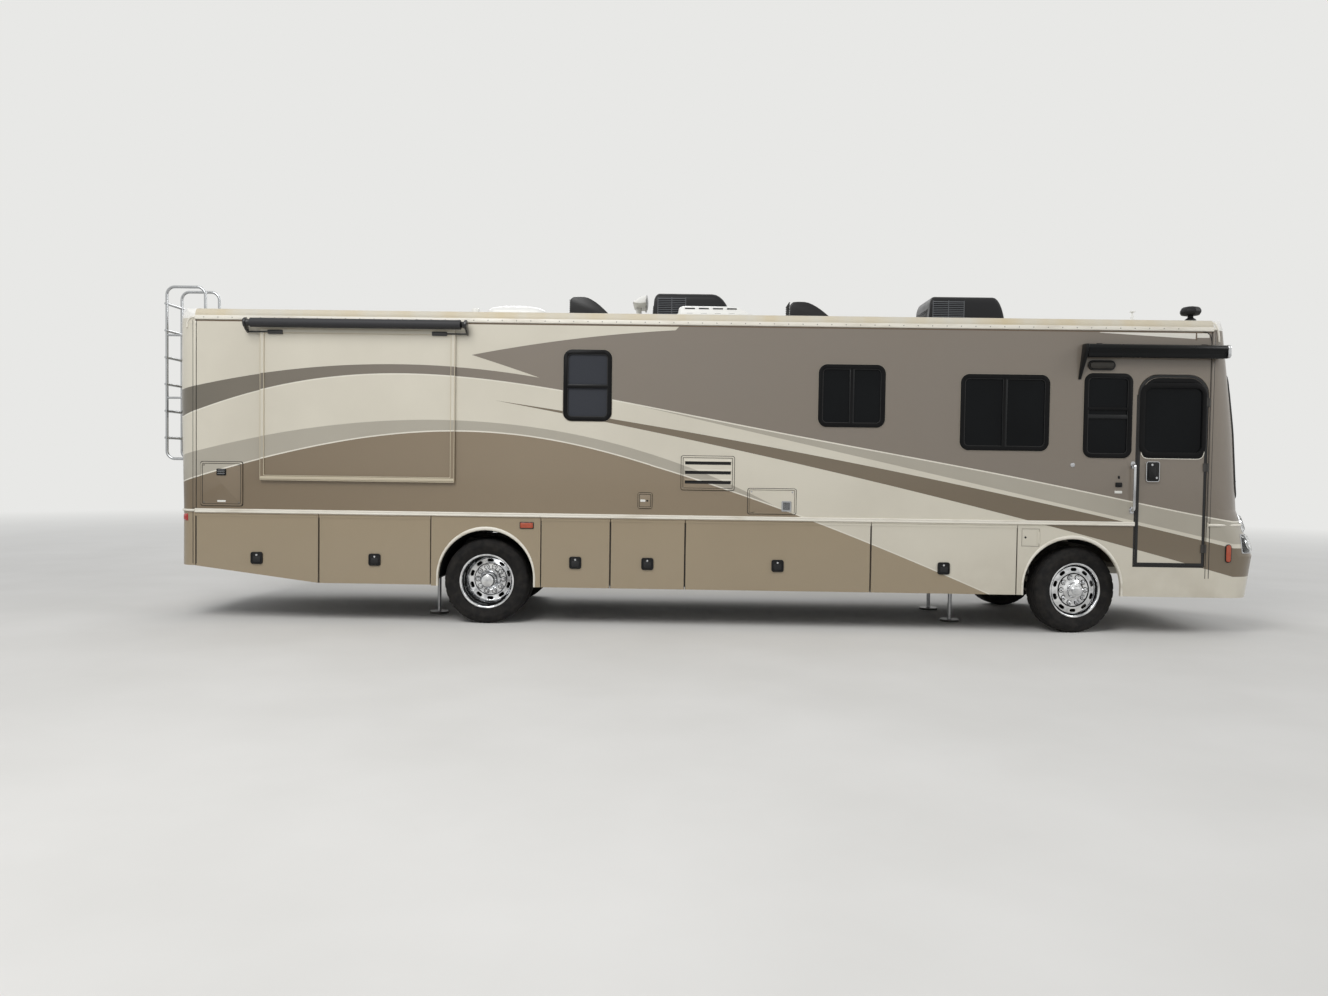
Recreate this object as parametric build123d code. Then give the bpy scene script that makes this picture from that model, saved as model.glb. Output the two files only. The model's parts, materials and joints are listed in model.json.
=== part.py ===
from build123d import *
import os
from collections import namedtuple
from math import cos, radians, sin, sqrt

os.makedirs("parts", exist_ok=True)

# Axes: X forward, Y to the vehicle's left, Z up, in millimetres.
# The origin lies on the ground, midway along the vehicle.

# Running gear
WHEELBASE = 6400
MID_AXLES_X = 810
REAR_AXLE_X = MID_AXLES_X - WHEELBASE / 2
FRONT_AXLE_X = MID_AXLES_X + WHEELBASE / 2
TYRE_R = 465
TYRE_W = 255
RIM_R = 286
RIM_FLANGE_R = 300
RIM_SKIN = 10
BEAD_Y = 97
DISC_R = 150
DISC_HALF = 7
HAND_HOLES = 10
HAND_HOLE_AT = 225
HAND_HOLE_LENGTH = 64
HAND_HOLE_WIDTH = 42
LUGS = 10
LUG_RING_R = 143
LUG_R = 16
LUG_HEIGHT = 34
WHEEL_OUTER_Y = 1235
DUAL_PITCH = 300
SPINDLE_R = 50
KINGPIN_INSET = 148
KINGPIN_R = 20
PARKED_STEER = 10
STEER_ARM = 180

# Coach body
BODY_WIDTH = 2560
WALL = 50
ROOF_THICK = 80
CAP_WALL = 45
SKIRT_Z = 415
DOOR_TOP_Z = 1172
WALL_BOTTOM_Z = 1180
BELT_HEIGHT = 46
BELT_PROUD = 18
FLOOR_THICK = 55
WALL_TOP_Z = 3310
ROOF_EDGE_Z = 3414
ROOF_CROWN_Z = 3480
ROOF_EDGE_R = 75
REAR_SEAM_X = REAR_AXLE_X - 3195
FRONT_SEAM_X = FRONT_AXLE_X + 1425
BAY_PANEL = 40
PANEL_GAP = 8
LATCH_Z = 690
LATCH_HALF = 62
LATCH_PROUD = 10
HINGE_R = 6

# Chassis
RAIL_Z0 = 660
RAIL_Z1 = 890
RAIL_Y = 465
RAIL_FLANGE = 80
RAIL_PLATE = 10
TRAY_INNER_Y = 520
TRAY_PLATE = 16

# Clearances
SEAT = 0.3
TOUCH = 0.05

HALF = BODY_WIDTH / 2
FLOOR_Z = WALL_BOTTOM_Z
FLOOR_UNDER_Z = FLOOR_Z - FLOOR_THICK
WHEEL_Y = WHEEL_OUTER_Y - TYRE_W / 2
KINGPIN_Y = WHEEL_Y - KINGPIN_INSET
INNER_DUAL_Y = WHEEL_Y - DUAL_PITCH
HINGE_Y = HALF + 4
HINGE_Z = WALL_BOTTOM_Z - SEAT - HINGE_R
RIGHT, LEFT = -1, 1


def save(name, *shapes):
    """Write one node as a STEP file, from all the solids of its shapes."""
    solids = [solid for shape in shapes for solid in shape.solids()]
    export_step(Compound(solids), f"parts/{name}.step")


def block(x0, x1, y0, y1, z0, z1):
    """A box between two corners."""
    centre = Pos((x0 + x1) / 2, (y0 + y1) / 2, (z0 + z1) / 2)
    return centre * Box(abs(x1 - x0), abs(y1 - y0), abs(z1 - z0))


def panel(x0, x1, z0, z1, radius=0):
    """A flat outline in X and Z, with round corners if a radius is given."""
    centre = Pos((x0 + x1) / 2, (z0 + z1) / 2)
    if radius:
        return centre * RectangleRounded(x1 - x0, z1 - z0, radius)
    return centre * Rectangle(x1 - x0, z1 - z0)


def outline(*points):
    """A flat face through straight-sided points."""
    return make_face(Polyline(*points, close=True))


def on_side(side, sketch, outer, inner):
    """Sweep an outline in X and Z across Y, between two distances from the centreline."""
    right = extrude(Plane((0, -inner, 0), (1, 0, 0), (0, -1, 0)) * sketch, outer - inner)
    return right if side == RIGHT else mirror(right, about=Plane.XZ)


def along(sketch, x0, x1):
    """Sweep an outline in Y and Z along X."""
    return extrude(Plane((x0, 0, 0), (0, 1, 0), (1, 0, 0)) * sketch, x1 - x0)


def bar(start, end, radius):
    """A round bar between two points."""
    start, end = Vector(*start), Vector(*end)
    return extrude(Plane(start, z_dir=end - start) * Circle(radius), (end - start).length)


def body_blank(x0, x1, z0, inset=0, drop=0):
    """The coach's cross-section, with round eaves and a crowned roof, as a solid prism."""
    half = HALF - inset
    edge_r = max(ROOF_EDGE_R - inset, 20)
    edge_z = ROOF_EDGE_Z - drop
    eaves_z = edge_z - edge_r
    bend = edge_r * sqrt(0.5)
    right_eave = ThreePointArc(
        (-half, eaves_z), (-half + edge_r - bend, eaves_z + bend), (-half + edge_r, edge_z)
    )
    crown = ThreePointArc(right_eave @ 1, (0, ROOF_CROWN_Z - drop), (half - edge_r, edge_z))
    left_eave = ThreePointArc(
        crown @ 1, (half - edge_r + bend, eaves_z + bend), (half, eaves_z)
    )
    base = Polyline(left_eave @ 1, (half, z0), (-half, z0), right_eave @ 0)
    return along(make_face(right_eave + crown + left_eave + base), x0, x1)


# Plan sections of the moulded end caps. Reach is how far the face stands from the seam at
# its corners, and crown is how much further it stands at the centreline.
CapRow = namedtuple("CapRow", "z reach crown corner")
FRONT_ROWS = [
    CapRow(SKIRT_Z, 540, 40, 300),
    CapRow(867, 607, 40, 300),
    CapRow(1201, 503, 90, 350),
    CapRow(1367, 437, 130, 350),
    CapRow(2209, 378, 145, 350),
    CapRow(2850, 250, 150, 240),
    CapRow(3327, 149, 150, 140),
    CapRow(3425, 95, 130, 88),
    CapRow(3500, 20, 50, 14),
]
REAR_CAP_BOTTOM_Z = 600
REAR_ROWS = [
    CapRow(REAR_CAP_BOTTOM_Z, 196, 70, 185),
    CapRow(1253, 192, 80, 180),
    CapRow(2416, 230, 90, 215),
    CapRow(3327, 215, 90, 190),
    CapRow(3500, 40, 80, 30),
]
Cap = namedtuple("Cap", "seam way rows")
FRONT_CAP = Cap(FRONT_SEAM_X, 1, FRONT_ROWS)
REAR_CAP = Cap(REAR_SEAM_X, -1, REAR_ROWS)


def cap_section(cap, row, inset):
    """One level plan section of an end cap."""
    half = HALF - inset
    reach = max(row.reach - inset, 14)
    corner = min(max(row.corner - inset, 8), reach - 4)
    bend = corner * (1 - sqrt(0.5))

    def at(out, y):
        return (cap.seam + cap.way * out, y)

    right = ThreePointArc(
        at(reach - corner, -half), at(reach - bend, -half + bend), at(reach, -half + corner)
    )
    face = ThreePointArc(right @ 1, at(reach + row.crown, 0), at(reach, half - corner))
    left = ThreePointArc(face @ 1, at(reach - bend, half - bend), at(reach - corner, half))
    back = Polyline(left @ 1, at(0, half), at(0, -half), right @ 0)
    return Pos(0, 0, row.z) * make_face(right + face + left + back)


def cap_blank(cap, inset=0, drop=0):
    """An end cap as a solid, its surface moved inwards by an inset."""
    stack = loft([cap_section(cap, row, inset) for row in cap.rows], ruled=True)
    far = cap.seam + cap.way * 1000
    shell = body_blank(min(cap.seam, far), max(cap.seam, far), 0, inset, drop)
    return stack & shell


def cap_skin(cap, window, proud):
    """What lies on a cap's outer surface inside a window, such as a lamp."""
    return (window & cap_blank(cap, -proud)) - cap_blank(cap, -SEAT)


# Panel seams along the skirt
REAR_ARCH_X0 = REAR_AXLE_X - 603
REAR_ARCH_X1 = REAR_AXLE_X + 600
FRONT_ARCH_X0 = FRONT_AXLE_X - 620
FRONT_ARCH_X1 = FRONT_AXLE_X + 636
Bay = namedtuple("Bay", "x0 x1 z_rear z_front")
RIGHT_BAYS = [
    Bay(REAR_SEAM_X, REAR_SEAM_X + 1361, 597, 425),
    Bay(REAR_SEAM_X + 1361, REAR_ARCH_X0, 425, 425),
    Bay(REAR_ARCH_X1, REAR_ARCH_X1 + 760, SKIRT_Z, SKIRT_Z),
    Bay(REAR_ARCH_X1 + 760, REAR_ARCH_X1 + 1576, SKIRT_Z, SKIRT_Z),
    Bay(REAR_ARCH_X1 + 1576, REAR_ARCH_X1 + 3596, SKIRT_Z, SKIRT_Z),
    Bay(REAR_ARCH_X1 + 3596, FRONT_ARCH_X0, SKIRT_Z, SKIRT_Z),
]
LEFT_BAYS = [
    Bay(REAR_SEAM_X, REAR_SEAM_X + 1361, 597, 425),
    Bay(REAR_SEAM_X + 1361, REAR_ARCH_X0, 425, 425),
    Bay(REAR_ARCH_X1, REAR_ARCH_X1 + 1576, SKIRT_Z, SKIRT_Z),
    Bay(REAR_ARCH_X1 + 1576, REAR_ARCH_X1 + 3596, SKIRT_Z, SKIRT_Z),
    Bay(REAR_ARCH_X1 + 3596, FRONT_ARCH_X0, SKIRT_Z, SKIRT_Z),
]
Arch = namedtuple("Arch", "x z radius x0 x1")
REAR_ARCH = Arch(REAR_AXLE_X, 510, 521, REAR_ARCH_X0, REAR_ARCH_X1)
FRONT_ARCH = Arch(FRONT_AXLE_X - 18, 505, 525, FRONT_ARCH_X0, FRONT_ARCH_X1)
ARCHES = [REAR_ARCH, FRONT_ARCH]

# Windscreen and radiator grille in the end caps
SCREEN_POST = 50
SCREEN_Z0, SCREEN_Z1 = 1500, 2860
SCREEN_HALF = HALF - 160
SCREEN_R = 130
SCREEN_DEPTH = 10
SCREEN_THICK = 8
GRILLE_HALF, GRILLE_Z0, GRILLE_Z1 = 620, 760, 1240
GRILLE_X = REAR_SEAM_X - 245
GRILLE_THICK = 30
GRILLE_FRAME = 30
GRILLE_SLATS = 9

# Entry door, on the right, hinged at its front edge
DOOR_X0 = FRONT_ARCH_X1 + PANEL_GAP
DOOR_X1 = DOOR_X0 + 748
DOOR_Z0 = 755
DOOR_Z1 = 2814
DOOR_TOP_R = 210
DOOR_GLASS = (DOOR_X0 + 44, DOOR_X1 - 30, 1951, 2706)
DOOR_GLASS_R = 100

# Side windows, by their black outer frames
Window = namedtuple("Window", "x0 x1 z0 z1 bar_x bar_z")
RIGHT_WINDOWS = [
    Window(REAR_AXLE_X + 829, REAR_AXLE_X + 1357, 2235, 3010, None, 2606),
    Window(FRONT_AXLE_X - 2805, FRONT_AXLE_X - 2081, 2206, 2885, FRONT_AXLE_X - 2446, None),
    Window(FRONT_AXLE_X - 1270, FRONT_AXLE_X - 310, 1977, 2800, FRONT_AXLE_X - 797, None),
    Window(FRONT_AXLE_X + 56, FRONT_AXLE_X + 580, 1912, 2827, None, 2445),
]
LEFT_WINDOWS = [
    Window(REAR_SEAM_X + 1085, REAR_SEAM_X + 1809, 2206, 2885, REAR_SEAM_X + 1447, None),
    Window(REAR_AXLE_X + 829, REAR_AXLE_X + 1357, 2235, 3010, None, 2606),
    Window(FRONT_AXLE_X + 56, FRONT_AXLE_X + 1016, 1977, 2800, FRONT_AXLE_X + 529, None),
]
WINDOW_R = 95
FRAME_LIP = 24
FRAME_FACE = 45
FRAME_PROUD = 8
BAR_W = 26
GLASS_THICK = 6
GLASS_DEPTH = 12

# Slide-out rooms
Slide = namedtuple("Slide", "side x0 x1 z0 z1 depth")
BED_SLIDE = Slide(RIGHT, REAR_SEAM_X + 723, REAR_SEAM_X + 2849, 1545, 3190, 640)
LIVING_SLIDE = Slide(LEFT, FRONT_AXLE_X - 4070, FRONT_AXLE_X - 490, 1290, 3190, 860)
SLIDE_TRIM = 50
SLIDE_PLATE = 24
SLIDE_WALL = 40
SLIDE_CLEAR = 10
LIVING_WINDOWS = [
    Window(FRONT_AXLE_X - 3690, FRONT_AXLE_X - 2730, 1977, 2800, FRONT_AXLE_X - 3210, None),
    Window(FRONT_AXLE_X - 1810, FRONT_AXLE_X - 850, 1977, 2800, FRONT_AXLE_X - 1330, None),
]
TOPPER_R = 55
TOPPER_Z = 3245
TOPPER_OVERHANG = 135
TOPPER_Y = HALF + SEAT + SLIDE_PLATE + 20 + TOPPER_R
TOPPER_ARM_Z0, TOPPER_ARM_Z1 = 3155, 3185
TOPPER_CHEEK = 14

# Small flaps in the wall
FLAP_THICK = 20
FLAP_RECESS = 26
FLAP_GAP = 5
FLAP_HINGE_R = 4
HEATER_FLAP = (REAR_AXLE_X + 2864, REAR_AXLE_X + 3362, 1266, 1516)
FUEL_FLAP = (FRONT_ARCH_X0 + 46, FRONT_ARCH_X0 + 239, 944, 1136)

# Hatches and the louvred vent that stay shut, on the right wall
Hatch = namedtuple("Hatch", "x0 x1 z0 z1 radius")
HATCHES = [
    Hatch(REAR_SEAM_X + 63, REAR_SEAM_X + 523, 1259, 1737, 30),
    Hatch(REAR_AXLE_X + 1659, REAR_AXLE_X + 1808, 1298, 1463, 10),
]
HATCH_PROUD = 8
LOUVRE = Hatch(REAR_AXLE_X + 2124, REAR_AXLE_X + 2698, 1505, 1872, 12)
LOUVRE_PROUD = 16
LOUVRE_FLOOR = 5
LOUVRE_MARGIN = 40
SLOT_FOOT_Z = 1560
SLOT_HEIGHT = 50
SLOT_PITCH = 100
SLOTS = 3

# Roof equipment. Side views run from the rear foot to the front foot.
RoofUnit = namedtuple("RoofUnit", "x0 x1 nose slat_x0 slat_x1")
AIR_CONDITIONERS = [
    RoofUnit(REAR_AXLE_X + 1755, REAR_AXLE_X + 2700, 240, REAR_AXLE_X + 1830, REAR_AXLE_X + 2145),
    RoofUnit(FRONT_AXLE_X - 1410, FRONT_AXLE_X - 500, 140, FRONT_AXLE_X - 1345, FRONT_AXLE_X - 995),
]
SHROUD_HALF = 350
SHROUD_TOP_Z = 3800
SHROUD_EASE = 45
SLATS = 6
SLAT_FOOT_Z = 3520
SLAT_PITCH = 36
SLAT_HEIGHT = 20
SLAT_DEPTH = 8
RoofBox = namedtuple("RoofBox", "x0 x1 y0 y1 top corner ease")
ROOF_DOMES = [
    RoofBox(REAR_AXLE_X - 165, REAR_AXLE_X + 525, -560, -60, 3612, 120, 60),
    RoofBox(REAR_AXLE_X + 2050, REAR_AXLE_X + 2900, -900, -400, 3570, 60, 40),
]
FanCover = namedtuple("FanCover", "x0 x1 y0 y1 top")
FAN_COVERS = [
    FanCover(REAR_AXLE_X + 805, REAR_AXLE_X + 1285, -540, -100, 3707),
    FanCover(MID_AXLES_X + 150, MID_AXLES_X + 640, -540, -100, 3680),
]
AERIAL_X = REAR_AXLE_X + 1585
AERIAL_Y = 50
DISH_X = FRONT_SEAM_X - 60
DISH_Y = -900
DISH_Z = 3565
DISH_R = 115
UNDER_ROOF_Z = 3380

# Ladder on the rear cap
LADDER_X = REAR_SEAM_X - 475
LADDER_Y = (-960, -620)
LADDER_FOOT_Z = 1765
LADDER_TOP_Z = 3690
LADDER_R = 16
RUNG_R = 14
RUNG_Z = (2000, 2300, 2600, 2900, 3200, 3500)
STAY_Z = (2450, 3150)
STAY_R = 12

# Lamps on the caps, by their place from the seam and from the centreline
CapLamp = namedtuple("CapLamp", "y0 y1 z0 z1 proud")
HEAD_LAMPS = [
    CapLamp(HALF - 420, HALF - 5, 900, 1105, 28),
    CapLamp(HALF - 380, HALF - 40, 1125, 1320, 28),
]
TAIL_LAMP = CapLamp(HALF - 380, HALF - 220, 820, 1180, 20)
CLEARANCE_LAMP_Y = (-1050, -130, 0, 130, 1050)
CLEARANCE_LAMP = CapLamp(-50, 50, 3345, 3390, 22)
MARKER_PROUD = 14
FRONT_MARKER = (FRONT_SEAM_X + 195, FRONT_SEAM_X + 262, 798, 998)
REAR_MARKER = (REAR_SEAM_X - 155, REAR_SEAM_X - 85, -HALF - 50, -HALF + 120, 1087, 1167)
SIDE_LAMP = (REAR_AXLE_X + 371, REAR_AXLE_X + 521, 1056, 1126)
PORCH_LIGHT = (FRONT_AXLE_X + 90, FRONT_AXLE_X + 380, 2857, 2963)
PORCH_LIGHT_PROUD = 30

# Entry awning in its case, and the grab handle beside the door
AWNING = (FRONT_AXLE_X + 25, FRONT_SEAM_X + 135, 2988, 3136)
AWNING_BACK = 20
AWNING_PROUD = 130
CHEEK_DROP = 235
CHEEK_THICK = 32
CHEEK_LEAN = 38
GRAB_X = DOOR_X0 - 42
GRAB_Z0, GRAB_Z1 = 1352, 1842
GRAB_R = 12.5
GRAB_REACH = 58
FOOT_HALF = 24


def arch_opening(arch, grow=0):
    """A wheel opening: a half circle with straight sides down past the skirt."""
    radius = arch.radius + grow
    legs = panel(arch.x - radius, arch.x + radius, -radius, arch.z)
    return legs + Pos(arch.x, arch.z) * Circle(radius)


def door_outline(grow=0):
    """The entry door's outline, square at the foot and arched at the top corners."""
    leaf = panel(DOOR_X0 - grow, DOOR_X1 + grow, DOOR_Z0 - grow, DOOR_Z1 + grow)
    return fillet(leaf.vertices().group_by(Axis.Y)[-1], DOOR_TOP_R + grow)


def window_hole(window, shrink):
    """A window's outline, shrunk all round from its frame's outer edge."""
    return panel(
        window.x0 + shrink,
        window.x1 - shrink,
        window.z0 + shrink,
        window.z1 - shrink,
        WINDOW_R - shrink,
    )


def window_panes(window, shrink):
    """The glazed area inside a window's frame, divided by its bar."""
    panes = window_hole(window, shrink)
    if window.bar_x:
        half = BAR_W / 2
        return panes - panel(window.bar_x - half, window.bar_x + half, window.z0, window.z1)
    half = BAR_W / 2
    return panes - panel(window.x0, window.x1, window.bar_z - half, window.bar_z + half)


def slide_opening(slide, clear=0):
    """A slide-out's opening in the wall, inside its trim."""
    margin = SLIDE_TRIM - clear
    return panel(slide.x0 + margin, slide.x1 - margin, slide.z0 + margin, slide.z1 - margin)


def build_wall(side, windows, slide, openings):
    """A laminated side wall with its windows, slide-out opening and doors cut through."""
    sheet = panel(REAR_SEAM_X, FRONT_SEAM_X, WALL_BOTTOM_Z, WALL_TOP_Z)
    if side == RIGHT:
        sheet += panel(FRONT_ARCH_X1, FRONT_SEAM_X, SKIRT_Z, WALL_BOTTOM_Z)
    else:
        sheet += panel(FRONT_ARCH_X1 + SEAT, FRONT_SEAM_X, SKIRT_Z, WALL_BOTTOM_Z)
    for window in windows:
        sheet -= window_hole(window, FRAME_LIP)
    sheet -= slide_opening(slide)
    for opening in openings:
        sheet -= opening
    return on_side(side, sheet, HALF, HALF - WALL)


def build_frames(side, windows, face_y):
    """Clamped window frames with a lip on the wall and a bar across."""
    frames = []
    for window in windows:
        panes = window_panes(window, FRAME_FACE)
        lip = on_side(side, window_hole(window, 0) - panes, face_y + FRAME_PROUD, face_y)
        sleeve = window_hole(window, FRAME_LIP + SEAT) - panes
        frames.append(lip + on_side(side, sleeve, face_y, face_y - WALL))
    return frames


def build_glass(side, windows, face_y):
    """Tinted panes set just behind the frames' faces."""
    outer = face_y - GLASS_DEPTH
    return [
        on_side(side, window_panes(window, FRAME_FACE + SEAT), outer, outer - GLASS_THICK)
        for window in windows
    ]


def build_slide(slide, windows):
    """A slide-out room: an open-backed box behind a trimmed outer face."""
    face = HALF + SEAT
    plate = on_side(
        slide.side, panel(slide.x0, slide.x1, slide.z0, slide.z1), face + SLIDE_PLATE, face
    )
    room = slide_opening(slide, -SLIDE_CLEAR)
    inner = SLIDE_TRIM + SLIDE_CLEAR + SLIDE_WALL
    hollow = panel(
        slide.x0 + inner, slide.x1 - inner, slide.z0 + inner, slide.z1 - inner
    )
    box = on_side(slide.side, room, face, face - slide.depth)
    skin = face - SLIDE_WALL + SLIDE_PLATE
    whole = plate + box - on_side(slide.side, hollow, skin, face - slide.depth - 1)
    for window in windows:
        hole = window_hole(window, FRAME_LIP)
        whole -= on_side(slide.side, hole, face + SLIDE_PLATE, skin - 1)
    return whole


def build_topper(slide):
    """The roller and arms of the awning over a slide-out."""
    x0, x1 = slide.x0 - TOPPER_OVERHANG, slide.x1 + TOPPER_OVERHANG
    y = slide.side * TOPPER_Y
    roller = bar((x0, y, TOPPER_Z), (x1, y, TOPPER_Z), TOPPER_R)
    face = HALF + SEAT + SLIDE_PLATE
    for x, inward in ((x0, 1), (x1, -1)):
        cap_end = x - inward * TOPPER_CHEEK
        low_x, high_x = sorted((x, cap_end))
        cheek = panel(low_x, high_x, TOPPER_Z - TOPPER_R - 7, TOPPER_Z + TOPPER_R + 7)
        roller += on_side(slide.side, cheek, TOPPER_Y + TOPPER_R, face + SEAT)
        arm_end = x + inward * (TOPPER_OVERHANG + 60)
        low_x, high_x = sorted((cap_end, arm_end))
        arm = panel(low_x, high_x, TOPPER_ARM_Z0, TOPPER_ARM_Z1)
        roller += on_side(slide.side, arm, face + 16, face)
    return roller


def build_bay_door(side, bay):
    """A baggage door with a full-length hinge barrel at its top and a paddle latch."""
    edge = PANEL_GAP / 2
    x0, x1 = bay.x0 + edge, bay.x1 - edge
    leaf = outline((x0, bay.z_rear), (x1, bay.z_front), (x1, DOOR_TOP_Z), (x0, DOOR_TOP_Z))
    door = on_side(side, leaf, HALF, HALF - BAY_PANEL)
    strap = panel(x0, x1, DOOR_TOP_Z - 30, DOOR_TOP_Z)
    door += on_side(side, strap, HINGE_Y, HALF)
    y = side * HINGE_Y
    door += bar((x0, y, HINGE_Z), (x1, y, HINGE_Z), HINGE_R)
    middle = (x0 + x1) / 2
    latch = panel(
        middle - LATCH_HALF, middle + LATCH_HALF, LATCH_Z - LATCH_HALF, LATCH_Z + LATCH_HALF, 20
    )
    return door + on_side(side, latch, HALF + LATCH_PROUD, HALF)


def build_tyre(y):
    """A road tyre on its wheel's axis, outer shoulder rounded."""
    half = TYRE_W / 2
    side = TYRE_R - 60
    profile = outline(
        (RIM_R, -BEAD_Y),
        (RIM_FLANGE_R + 4, -BEAD_Y),
        (side - 60, -half),
        (side, -half + 4),
        (TYRE_R, -half + 34),
        (TYRE_R, half - 34),
        (side, half - 4),
        (side - 60, half),
        (RIM_FLANGE_R + 4, BEAD_Y),
        (RIM_R, BEAD_Y),
    )
    return Pos(0, y, 0) * revolve(profile, Axis.Y)


def build_rim(side, y, dish, hub_end):
    """A wheel: rolled barrel with two flanges, a dished disc with hand holes, and a hub
    in its ring of lug nuts."""
    seat = RIM_R - SEAT
    bore = SPINDLE_R + SEAT
    flange = BEAD_Y + SEAT
    root = 0.6 * dish
    profile = outline(
        (seat, -flange),
        (seat, flange),
        (RIM_FLANGE_R, flange),
        (RIM_FLANGE_R, flange + RIM_SKIN),
        (seat - RIM_SKIN, flange + RIM_SKIN),
        (seat - RIM_SKIN, root + RIM_SKIN),
        (DISC_R, dish + DISC_HALF),
        (bore, dish + DISC_HALF),
        (bore, dish - DISC_HALF),
        (DISC_R, dish - DISC_HALF),
        (seat - RIM_SKIN, root - RIM_SKIN),
        (seat - RIM_SKIN, -flange - RIM_SKIN),
        (RIM_FLANGE_R, -flange - RIM_SKIN),
        (RIM_FLANGE_R, -flange),
    )
    wheel = revolve(profile, Axis.Y)
    if hub_end:
        hub = outline(
            (bore, dish - DISC_HALF), (bore, hub_end - 20), (0, hub_end - 20), (0, hub_end),
            (70, hub_end), (85, hub_end - 20), (92, dish + 30), (112, dish + 20),
            (112, dish - DISC_HALF),
        )
        wheel += revolve(hub, Axis.Y)
        for number in range(LUGS):
            lug = Rot(0, (number + 0.5) * 360 / LUGS, 0) * Pos(LUG_RING_R, dish, 0) * Rot(-90, 0, 0)
            wheel += lug * extrude(RegularPolygon(LUG_R, 6), LUG_HEIGHT)
    for number in range(HAND_HOLES):
        hole = Rot(0, number * 360 / HAND_HOLES, 0) * Pos(HAND_HOLE_AT, dish, 0) * Rot(90, 0, 0)
        slot = SlotOverall(HAND_HOLE_LENGTH, HAND_HOLE_WIDTH, rotation=90)
        wheel -= hole * extrude(slot, 100, both=True)
    if side == RIGHT:
        wheel = mirror(wheel, about=Plane.XZ)
    return Pos(0, y, 0) * wheel


# Walls and roof
right_openings = [door_outline(PANEL_GAP)]
right_openings += [panel(FRONT_ARCH_X1 - 1, DOOR_X0, DOOR_Z0 - PANEL_GAP, WALL_BOTTOM_Z)]
right_wall = build_wall(RIGHT, RIGHT_WINDOWS, BED_SLIDE, right_openings)
right_wall -= on_side(RIGHT, panel(*HEATER_FLAP), HALF, HALF - FLAP_RECESS)
save("right_wall", right_wall)
save("left_wall", build_wall(LEFT, LEFT_WINDOWS, LIVING_SLIDE, []))
roof = body_blank(REAR_SEAM_X, FRONT_SEAM_X, WALL_TOP_Z)
roof -= body_blank(REAR_SEAM_X, FRONT_SEAM_X, WALL_TOP_Z - 10, WALL, ROOF_THICK)
save("roof", roof)


def screen_opening(shrink):
    """The two halves of the windscreen, seen from the front."""
    width = SCREEN_HALF - SCREEN_POST / 2 - 2 * shrink
    height = SCREEN_Z1 - SCREEN_Z0 - 2 * shrink
    middle = (SCREEN_HALF + SCREEN_POST / 2) / 2
    level = (SCREEN_Z0 + SCREEN_Z1) / 2
    shape = RectangleRounded(width, height, SCREEN_R - shrink)
    front = FRONT_SEAM_X + 100
    right = along(Pos(-middle, level) * shape, front, front + 900)
    return right + mirror(right, about=Plane.XZ)


# End caps
front_cap = cap_blank(FRONT_CAP) - cap_blank(FRONT_CAP, CAP_WALL, ROOF_THICK)
front_cap -= screen_opening(0)
save("front_cap", front_cap)

screen_back = SCREEN_DEPTH + SCREEN_THICK
screen = cap_blank(FRONT_CAP, SCREEN_DEPTH, SCREEN_DEPTH + 10)
screen -= cap_blank(FRONT_CAP, screen_back, screen_back + 10)
save("windshield", screen & screen_opening(SEAT))

rear_cap = cap_blank(REAR_CAP) - cap_blank(REAR_CAP, CAP_WALL, ROOF_THICK)
rear_cap -= block(
    REAR_SEAM_X - 1400, REAR_SEAM_X - 60, -GRILLE_HALF, GRILLE_HALF, GRILLE_Z0, GRILLE_Z1
)
save("rear_cap", rear_cap)

# Radiator grille in the rear cap
grille = block(
    GRILLE_X, GRILLE_X + GRILLE_THICK,
    -GRILLE_HALF + SEAT, GRILLE_HALF - SEAT, GRILLE_Z0 + SEAT, GRILLE_Z1 - SEAT,
)
grille -= block(
    GRILLE_X - 1, GRILLE_X + GRILLE_THICK + 1,
    -GRILLE_HALF + GRILLE_FRAME, GRILLE_HALF - GRILLE_FRAME,
    GRILLE_Z0 + GRILLE_FRAME, GRILLE_Z1 - GRILLE_FRAME,
)
slat_pitch = (GRILLE_Z1 - GRILLE_Z0 - 2 * GRILLE_FRAME) / GRILLE_SLATS
for number in range(GRILLE_SLATS):
    z = GRILLE_Z0 + GRILLE_FRAME + (number + 0.5) * slat_pitch
    slat = Pos(GRILLE_X + GRILLE_THICK / 2, 0, z) * Rot(0, 40, 0)
    grille += slat * Box(4, 2 * GRILLE_HALF - GRILLE_FRAME, 34)
save("engine_grille", grille)

# Glazing
frames = build_frames(RIGHT, RIGHT_WINDOWS, HALF) + build_frames(LEFT, LEFT_WINDOWS, HALF)
save("window_frames", *frames)
panes = build_glass(RIGHT, RIGHT_WINDOWS, HALF) + build_glass(LEFT, LEFT_WINDOWS, HALF)
save("side_glass", *panes)

# Trim: belt rails, gutters, wheel-arch lips and the grab handle beside the entry door
trim = []
for side in (RIGHT, LEFT):
    belt = panel(REAR_SEAM_X, FRONT_SEAM_X, WALL_BOTTOM_Z, WALL_BOTTOM_Z + BELT_HEIGHT)
    if side == RIGHT:
        belt -= panel(DOOR_X0 - 10, DOOR_X1 + 10, WALL_BOTTOM_Z, WALL_BOTTOM_Z + BELT_HEIGHT)
    trim.append(on_side(side, belt, HALF + BELT_PROUD, HALF))
    gutter = panel(REAR_SEAM_X, FRONT_SEAM_X, 3285, 3333)
    trim.append(on_side(side, gutter, HALF + 14, HALF))
    for arch in ARCHES:
        lip = arch_opening(arch, 24) - arch_opening(arch)
        lip -= panel(arch.x - 900, arch.x + 900, -900, SKIRT_Z)
        trim.append(on_side(side, lip, HALF + 10, HALF))
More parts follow.
